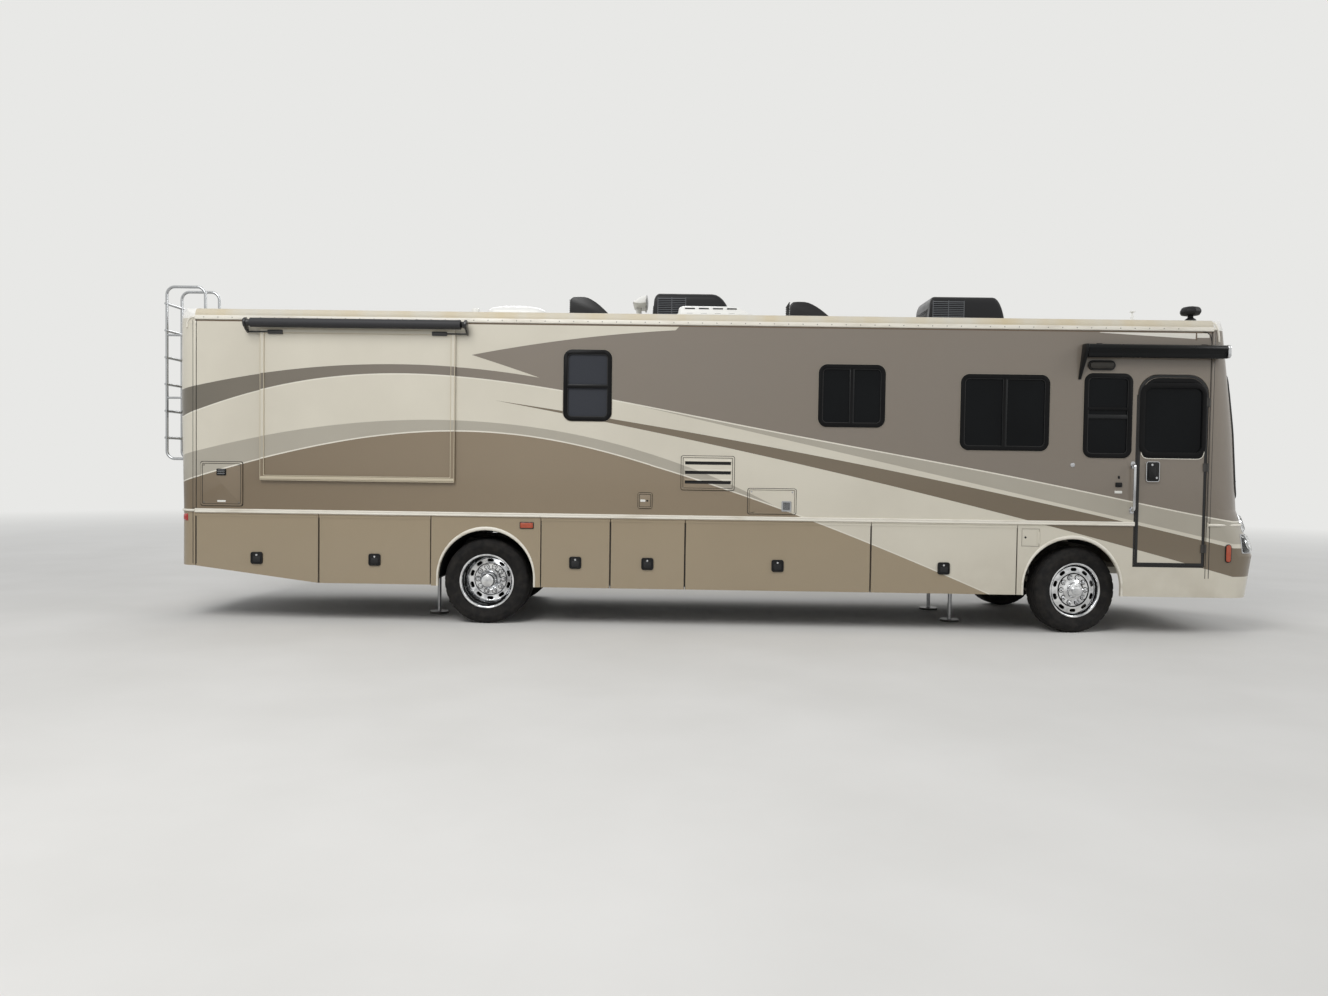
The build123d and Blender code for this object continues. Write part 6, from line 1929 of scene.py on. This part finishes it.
def round_corner(side, y_in, turn_to, z0, z1):
    """Points from the front cap's face round its corner: u runs outwards, v up."""
    straight = CORNER_Y - y_in

    def spot_of(u, v, lift):
        reach, z = u * (straight + CORNER_R * turn_to), z0 + (z1 - z0) * v
        if reach < straight:
            return on_cap(front_skin, (9, side * (y_in + reach), z), (-1, 0, 0), lift)[0]
        turn = (reach - straight) / CORNER_R
        out = Vector((cos(turn), side * sin(turn), 0))
        start = Vector((CORNER_X, side * CORNER_Y, z)) + out * 2
        return on_cap(front_skin, start, -out, lift)[0]
    return spot_of


def across_cap(faces, way, y0, y1, z0, z1):
    """Points on a cap's face, met from straight ahead or behind."""
    return lambda u, v, lift: on_cap(
        faces, (way * 9, y0 + (y1 - y0) * u, z0 + (z1 - z0) * v), (-way, 0, 0), lift)[0]


def at_head_lamps(build):
    """Let a build function shape its part at each of the head lamps."""
    def build_all(bm):
        for side in (-1, 1):
            for *edges, bowls in HEAD_LAMPS:
                build(bm, round_corner(side, *edges), bowls)

    build_all.__name__ = build.__name__
    return build_all


@as_piece("black_frame", latch_black)
@at_head_lamps
def head_lamp_backing(bm, spot_of, bowls):
    skin_sheet(bm, spot_of, even(-0.001), even(0.002), 30, 4)


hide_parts("front_lamps")


@as_piece("bright_rim", chrome, crease=40)
@at_head_lamps
def head_lamp_bowls(bm, spot_of, bowls):
    for u, radius in bowls:
        foot, edge = spot_of(u, 0.5, 0), spot_of(u, 0.5, 0.1)
        dome(bm, [(0, 0.0085), (0.01, 0.0082), (0.0135, 0.0035), (0.3 * radius, 0.0045),
                  (0.6 * radius, 0.0085), (0.86 * radius, 0.0155), (0.95 * radius, 0.018),
                  (radius, 0.017), (radius, 0.0005), (0, 0.0005)],
             facing(foot, (edge - foot).normalized()), 40)


@as_piece("clear_lens", lamp_cover, crease=50)
@at_head_lamps
def head_lamp_covers(bm, spot_of, bowls):
    skin_sheet(bm, spot_of, crowned(0.022, 0.0005), crowned(0.025, 0.0025), 36, 14)


@as_piece("bright_rim", plated)
@at_head_lamps
def head_lamp_rims(bm, spot_of, bowls):
    """A bright moulding round the lamp."""
    edge = [(k / 24, 0) for k in range(25)] + [(1.0, k / 5) for k in range(1, 6)]
    edge += [(1 - k / 24, 1.0) for k in range(1, 25)] + [(0.0, 1 - k / 5) for k in range(1, 5)]
    tube(bm, [spot_of(u, v, 0.002) for u, v in edge], 0.0055, 8, closed=True)


@as_piece("black_frame", latch_black, bevel=0.003)
def side_marker_bases(bm):
    """An oval behind each head lamp, and a small oblong behind each rear arch."""
    for side in (-1, 1):
        for *box, radius in SIDE_MARKERS:
            panel(bm, on_wall(side), box, radius, -0.001, 0.009)


@as_piece("clear_lens", amber_lens, bevel=0.005, steps=3)
def side_marker_lenses(bm):
    for side in (-1, 1):
        for *box, radius in SIDE_MARKERS:
            panel(bm, on_wall(side), grown(box, -0.008), max(radius - 0.008, 0.006), 0.008, 0.015)


def clearance_lamps(bm, faces, way, half, z0, z1, *sheet):
    for y in (-1.05, -0.13, 0.0, 0.13, 1.05):
        skin_sheet(bm, across_cap(faces, way, y - half, y + half, z0, z1), *sheet)


for end, faces, way, slot, material in (
    ("front", front_skin, 1, "clear_lens", amber_lens),
    ("rear", rear_skin, -1, "red_lens", red_lens),
):
    piece(f"clearance_bases_{end}", "coach", "black_frame", latch_black,
          lambda bm: clearance_lamps(bm, faces, way, 0.052, 3.343, 3.392,
                                     even(-0.001), even(0.005), 8, 4))
    piece(f"clearance_lenses_{end}", "coach", slot, material,
          lambda bm: clearance_lamps(bm, faces, way, 0.044, 3.349, 3.386,
                                     even(0.003), crowned(0.016, 0.006), 12))


def tail_lamps(bm, inset, z0, z1, *sheet):
    for side in (-1, 1):
        y0, y1 = sorted((side * 0.9, side * 1.06))
        skin_sheet(bm, across_cap(rear_skin, -1, y0 + inset, y1 - inset, z0, z1), *sheet)


bezels = piece("tail_lamp_bezels", "coach", "black_frame", latch_black,
               lambda bm: tail_lamps(bm, 0.0, 0.82, 1.18, even(-0.001), even(0.009), 8, 16),
               bevel=0.002)
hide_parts("rear_lamps")
for part, material, slot, z0, z1 in (
    ("stop", red_lens, "red_lens", 1.02, 1.17), ("turn", amber_lens, "clear_lens", 0.922, 1.012),
    ("reverse", white_lens, "clear_lens", 0.83, 0.914),
):
    piece(f"tail_lamp_{part}_lenses", "coach", slot, material,
          lambda bm: tail_lamps(bm, 0.01, z0, z1, even(0.002), crowned(0.013, 0.006), 12))


@as_piece("red_lens", red_lens)
def rear_corner_markers(bm):
    """A red marker on each rear corner, curved with the cap."""
    for side in (-1, 1):
        def spot_of(u, v, lift):
            turn = 0.42 + 0.44 * u
            out = Vector((-sin(turn), side * cos(turn), 0))
            middle = Vector((REAR_SEAM - 0.011, side * 1.095, 1.089 + 0.076 * v))
            return on_cap(rear_skin, middle + out * 2, -out, lift)[0]

        skin_sheet(bm, spot_of, even(-0.001), crowned(0.01, 0.004), 12)


# Bare number plates, front intake and rear camera
# Blank plates on two bolts in front and behind, a slatted radiator intake low in the front
# cap under its service panel's seam, and a hooded camera high on the rear cap.
for end, faces, way, z in (("front", front_skin, 1, 0.76), ("rear", rear_skin, -1, 1.4)):
    hit, normal = on_cap(faces, (way * 9, 0, z), (-way, 0, 0))
    level = Vector((0, -way, 0))
    up = normal.cross(level).normalized()
    if up.z < 0:
        up = -up

    def face(u, v, w):
        return hit + level * u + up * v + normal * w

    def bare_plate(bm):
        panel(bm, face, (-0.153, 0.153, -0.077, 0.077), 0.014, 0.0008, 0.0028)
        panel(bm, face, (-0.147, 0.147, -0.071, 0.071), 0.01, 0.0024, 0.0034, 0.004, 0.008)

    def plate_bolts(bm):
        for u in (-0.089, 0.089):
            dome(bm, [(0, 0.0062), (0.005, 0.0058), (0.0068, 0.004), (0.0068, -0.004),
                      (0, -0.004)], facing(face(u, 0.058, 0), normal), 14)

    def plate_pocket(bm):
        panel(bm, face, (-0.166, 0.166, -0.09, 0.09), 0.018, -0.006, 0.001)

    piece(f"bare_number_plate_{end}", "coach", "pale_trim", white_plastic, bare_plate,
          bevel=0.0006)
    piece(f"number_plate_bolts_{end}", "coach", "bright_rim", plated, plate_bolts)
    piece(f"number_plate_pocket_{end}", "coach", "black_frame", latch_black, plate_pocket,
          bevel=0.0015)


@as_piece("black_frame", slot_black)
def front_intake(bm):
    skin_sheet(bm, across_cap(front_skin, 1, -0.56, 0.56, 0.47, 0.65), even(-0.001),
               even(0.0022), 24, 4)


@as_piece("black_frame", frame_black)
def front_intake_slats(bm):
    for k in range(6):
        z = 0.484 + 0.0285 * k
        skin_sheet(bm, across_cap(front_skin, 1, -0.552, 0.552, z, z + 0.011), even(0.001),
                   lambda u, v: 0.012 - 0.005 * v, 24, 2)
    for y in (-0.28, 0.0, 0.28):
        skin_sheet(bm, across_cap(front_skin, 1, y - 0.004, y + 0.004, 0.474, 0.646), even(0.001),
                   even(0.0105), 2)


def cap_line(bm, outline, proud, radius, sides):
    """A bead laid along an outline on the front cap."""
    run = [on_cap(front_skin, (9, y, z), (-1, 0, 0), proud)[0] for y, z in spaced(outline, 0.08)]
    tube(bm, run, radius, sides, closed=True)


@as_piece("black_frame", sealant)
def front_panel_seam(bm):
    cap_line(bm, round_box(-0.86, 0.86, 1.255, 1.425, 0.05, 5), 0.0, 0.0028, 6)


@as_piece("bright_rim", plated)
def front_intake_edge(bm):
    cap_line(bm, round_box(-0.568, 0.568, 0.462, 0.658, 0.03, 5), 0.003, 0.009, 8)


@as_piece("black_frame", latch_black, crease=30)
def rear_camera(bm):
    hit, normal = on_cap(rear_skin, (-9, 0, 3.23), (1, 0, 0))
    dome(bm, [(0, 0.04), (0.014, 0.04), (0.018, 0.046), (0.03, 0.044), (0.036, 0.03),
              (0.04, 0.006), (0.05, 0.002), (0.05, -0.003), (0, -0.003)],
         facing(hit, normal), 32)
    block(bm, (hit.x - 0.062, -0.045, 3.262), (hit.x + 0.004, 0.045, 3.27))


# Cab interior
# Seen through the windscreen: a grained vinyl dashboard with an instrument hood, the
# steering wheel, and two stitched leather seats on carpeted pedestals.
vinyl = worn("dash_vinyl", srgb(62, 55, 48), 0.6, grain=380, relief=0.0008, spread=0.2)
clad(vinyl, "dashboard")
leather, place = finish("seat_leather")
creases = place.noise(90, 6.0)
surface(leather, {
    "Base Color": place.noise(5, 4.0).mix(srgb(150, 132, 108), srgb(172, 154, 130)),
    "Roughness": creases * 0.25 + 0.42,
    "Normal": creases.relief(0.5, 0.0014),
})
piping = worn("seat_piping", srgb(112, 96, 78), 0.5, grain=300)
DASH_X = FRONT_SEAM + 0.02


@as_piece("dash_plastic", vinyl, bevel=0.018, steps=3)
def instrument_hood(bm):
    profile = [(DASH_X - 0.09, 1.56), (DASH_X - 0.075, 1.735), (DASH_X - 0.04, 1.765),
               (DASH_X + 0.16, 1.7), (DASH_X + 0.18, 1.64), (DASH_X + 0.02, 1.6)]
    plate(bm, profile, sideways, 0.36, 0.88)


@as_piece("black_frame", latch_black)
def instrument_dials(bm):
    """Two large and four small dials, their faces left bare."""
    for y, z, radius in ((0.54, 1.655, 0.052), (0.7, 1.655, 0.052), (0.44, 1.675, 0.026),
                         (0.44, 1.615, 0.026), (0.8, 1.675, 0.026), (0.8, 1.615, 0.026)):
        x = DASH_X - 0.09 + 0.086 * (z - 1.56)
        dome(bm, [(0, 0.001), (0.84 * radius, 0.001), (0.88 * radius, 0.006), (radius, 0.005),
                  (radius, -0.003), (0, -0.003)], at(x, y, z) @ spin(90), 36)


@as_piece("dash_plastic", vinyl)
def steering_wheel_boss(bm):
    """The steering wheel's padded boss over its spokes."""
    stand = facing((FRONT_SEAM - 0.12, 0.62, 1.8), Vector((-200, 0, 240)).normalized())
    dome(bm, [(0, 0.034), (0.04, 0.033), (0.064, 0.026), (0.074, 0.012), (0.076, -0.01),
              (0.05, -0.02), (0, -0.02)], stand, 40)


PINCH = 0.035


def pinched(u, v):
    """A point of a cushion's outline, its sides drawn in between the corners."""
    u *= 1 - PINCH * (1 - v * v)
    return u, v * (1 - PINCH * (1 - u * u))


def cushion_form(bm, stand, half, power, channels):
    """A stuffed form: crowned faces, soft edges, sides drawn in, channels sewn across."""
    bmesh.ops.create_cube(bm, size=2.0)
    bmesh.ops.subdivide_edges(bm, edges=bm.edges[:], cuts=27, use_grid_fill=True)
    for vert in bm.verts:
        u, v, w = vert.co / sum(abs(part) ** power for part in vert.co) ** (1 / power)
        sewn = sum(cos((u - c) * pi / 0.1) ** 2 * 0.05 for c in channels if abs(u - c) < 0.05)
        u, v = pinched(u, v)
        vert.co = stand @ Vector((u * half[0], v * half[1], w * (1 - sewn) * half[2]))


def seat_piping(bm, stand, half, power):
    """The piped seam round a cushion's edge."""
    run = []
    for k in range(64):
        u, v = cos(2 * pi * k / 64), sin(2 * pi * k / 64)
        span = (abs(u) ** power + abs(v) ** power) ** (1 / power)
        u, v = pinched(u / span, v / span)
        run.append(stand @ Vector((u * half[0], v * half[1], 0)))
    tube(bm, run, 0.0045, 6, closed=True)


SEAT_PARTS = (
    # part, place along from the seat's middle, height, half sizes, lean in degrees, channels
    ("cushion", 0.0, 1.545, (0.262, 0.255, 0.078), 0, (-0.45, 0.0, 0.45)),
    ("back", -0.245, 1.93, (0.345, 0.235, 0.068), 98, (-0.5, -0.17, 0.17)),
    ("head", -0.3, 2.225, (0.085, 0.15, 0.058), 98, ()),
)
for name, x, y in (("driver", FRONT_SEAM - 0.935, 0.64),
                   ("passenger", FRONT_SEAM - 1.355, -0.64)):
    for part, back, z, half, lean, channels in SEAT_PARTS:
        stand = at(x + back, y, z) @ spin(-lean, "Y")
        pad = piece(f"{name}_seat_{part}", "coach", "seat_leather", leather,
                    lambda bm: cushion_form(bm, stand, half, 4.5, channels), crease=60)
        piece(f"{name}_seat_{part}_piping", "coach", "seat_leather", piping,
              lambda bm: seat_piping(bm, stand, half, 4.5))
    for hand, side in (("right", -1), ("left", 1)):
        stand = at(x - 0.03, y + side * 0.285, 1.745)
        arm = piece(f"{name}_armrest_{hand}", "coach", "seat_leather", leather,
                    lambda bm: cushion_form(bm, stand, (0.19, 0.036, 0.03), 3.5, ()), crease=60)

    def pedestal(bm):
        block(bm, (x - 0.195, y - 0.195, 1.181), (x + 0.195, y + 0.195, 1.44))
        block(bm, (x - 0.215, y - 0.215, 1.425), (x + 0.215, y + 0.215, 1.475))
        for side in (-1, 1):
            low, high = sorted((y + side * 0.262, y + side * 0.3))
            block(bm, (x - 0.25, low, 1.69), (x - 0.2, high, 1.735))

    pedestals = piece(f"{name}_seat_pedestal", "coach", "dash_plastic", vinyl, pedestal,
                      bevel=0.01)
    if name == "driver":
        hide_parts("cab_seats")

# Levelling jacks and radiator grille
# Jack legs of bright hydraulic rams in black sleeves, down on round feet, and the black
# pressed grille in front of the rear radiator.
jack_steel, place = finish("jack_steel")
height = place.part("Z")
ram = (height > 0.026) & (height < 0.419)
patina = place.noise(14, 4.0)
surface(jack_steel, {
    "Base Color": ram.mix(patina.mix(srgb(26, 26, 27), srgb(58, 54, 48)),
                          patina.mix(srgb(150, 151, 153), srgb(196, 197, 199))),
    "Metallic": ram * 1.0,
    "Roughness": patina * 0.2 + 0.25,
    "Normal": place.noise(160, 3.0).relief(0.2, 0.0004),
})
clad(jack_steel, "levelling_jacks")
clad(latch_black, "engine_grille")

# Photo stage
# A pale concrete-coloured floor that fades into the backdrop, soft light from overhead and
# the camera where the photograph was taken from, across the drive at eye height.
BACKDROP = srgb(232, 232, 230)
SKY_FILL = (0.47, 0.485, 0.51, 1.0)
EYE = (-0.312, -12.128, 1.739)
EYE_YAW = radians(0.73)
EYE_PITCH = radians(-1.73)
EYE_ROLL = radians(0.81)
PHOTO_WIDTH, FOCAL_PIXELS = 1328, 997

bpy.ops.mesh.primitive_plane_add(size=240)
floor = bpy.context.object
floor.name = "studio_floor"
floor_finish, place = finish("studio_floor")
tree = floor_finish.node_tree
away = place.add("VectorMath", {0: place}, "Value", operation="LENGTH")
seen = place.add("LightPath", {}, "Is Camera Ray")
surface(floor_finish, {
    "Base Color": place.noise(0.7, 5.0).mix(srgb(205, 203, 198), srgb(222, 220, 216)),
    "Roughness": 0.85,
    "Normal": place.noise(160, 3.0).relief(0.2, 0.0008),
})
shown = place.add("MixShader", {
    0: away.between(9.0, 30.0) * seen,
    1: Shade(tree, tree.nodes["Principled BSDF"].outputs[0]),
    2: place.add("Emission", {"Color": BACKDROP, "Strength": 1.0}),
})
tree.links.new(shown.socket, tree.nodes["Material Output"].inputs["Surface"])
floor.data.materials.append(floor_finish)

world = bpy.data.worlds.new("studio")
bpy.context.scene.world = world
world.use_nodes = True
paths = world.node_tree.nodes.new("ShaderNodeLightPath")
seen = Shade(world.node_tree, paths.outputs["Is Camera Ray"])
for ray in ("Is Glossy Ray", "Is Transmission Ray"):
    seen = seen | Shade(world.node_tree, paths.outputs[ray])
seen.feed(world.node_tree.nodes["Background"], {"Color": seen.mix(SKY_FILL, BACKDROP)})

for name, place, aim, size, power in (
    ("key_light", (-5.0, -11.0, 12.0), (0, 0, 1.5), 9.0, 1250),
    ("front_light", (16.0, -5.0, 9.0), (3, 0, 1.5), 7.0, 600),
    ("back_light", (-3.0, 13.0, 10.0), (0, 0, 1.5), 9.0, 650),
):
    lamp = bpy.data.lights.new(name, "AREA")
    lamp.shape = "DISK"
    lamp.size = size
    lamp.energy = power
    light = bpy.data.objects.new(name, lamp)
    light.location = place
    light.rotation_euler = (Vector(aim) - Vector(place)).to_track_quat("-Z", "Y").to_euler()
    bpy.context.scene.collection.objects.link(light)

ahead = Vector((-sin(EYE_YAW) * cos(EYE_PITCH), cos(EYE_YAW) * cos(EYE_PITCH), sin(EYE_PITCH)))
level = ahead.cross(Vector((0, 0, 1))).normalized()
tilted = level * cos(EYE_ROLL) + level.cross(ahead) * sin(EYE_ROLL)
camera = bpy.data.objects.new("camera", bpy.data.cameras.new("camera"))
camera.data.sensor_width = 36.0
camera.data.lens = 36.0 * FOCAL_PIXELS / PHOTO_WIDTH
axes = Matrix((tilted, tilted.cross(ahead), -ahead)).transposed()
camera.matrix_world = Matrix.Translation(EYE) @ axes.to_4x4()
bpy.context.scene.collection.objects.link(camera)
bpy.context.scene.camera = camera
bpy.context.scene.view_settings.view_transform = "Standard"
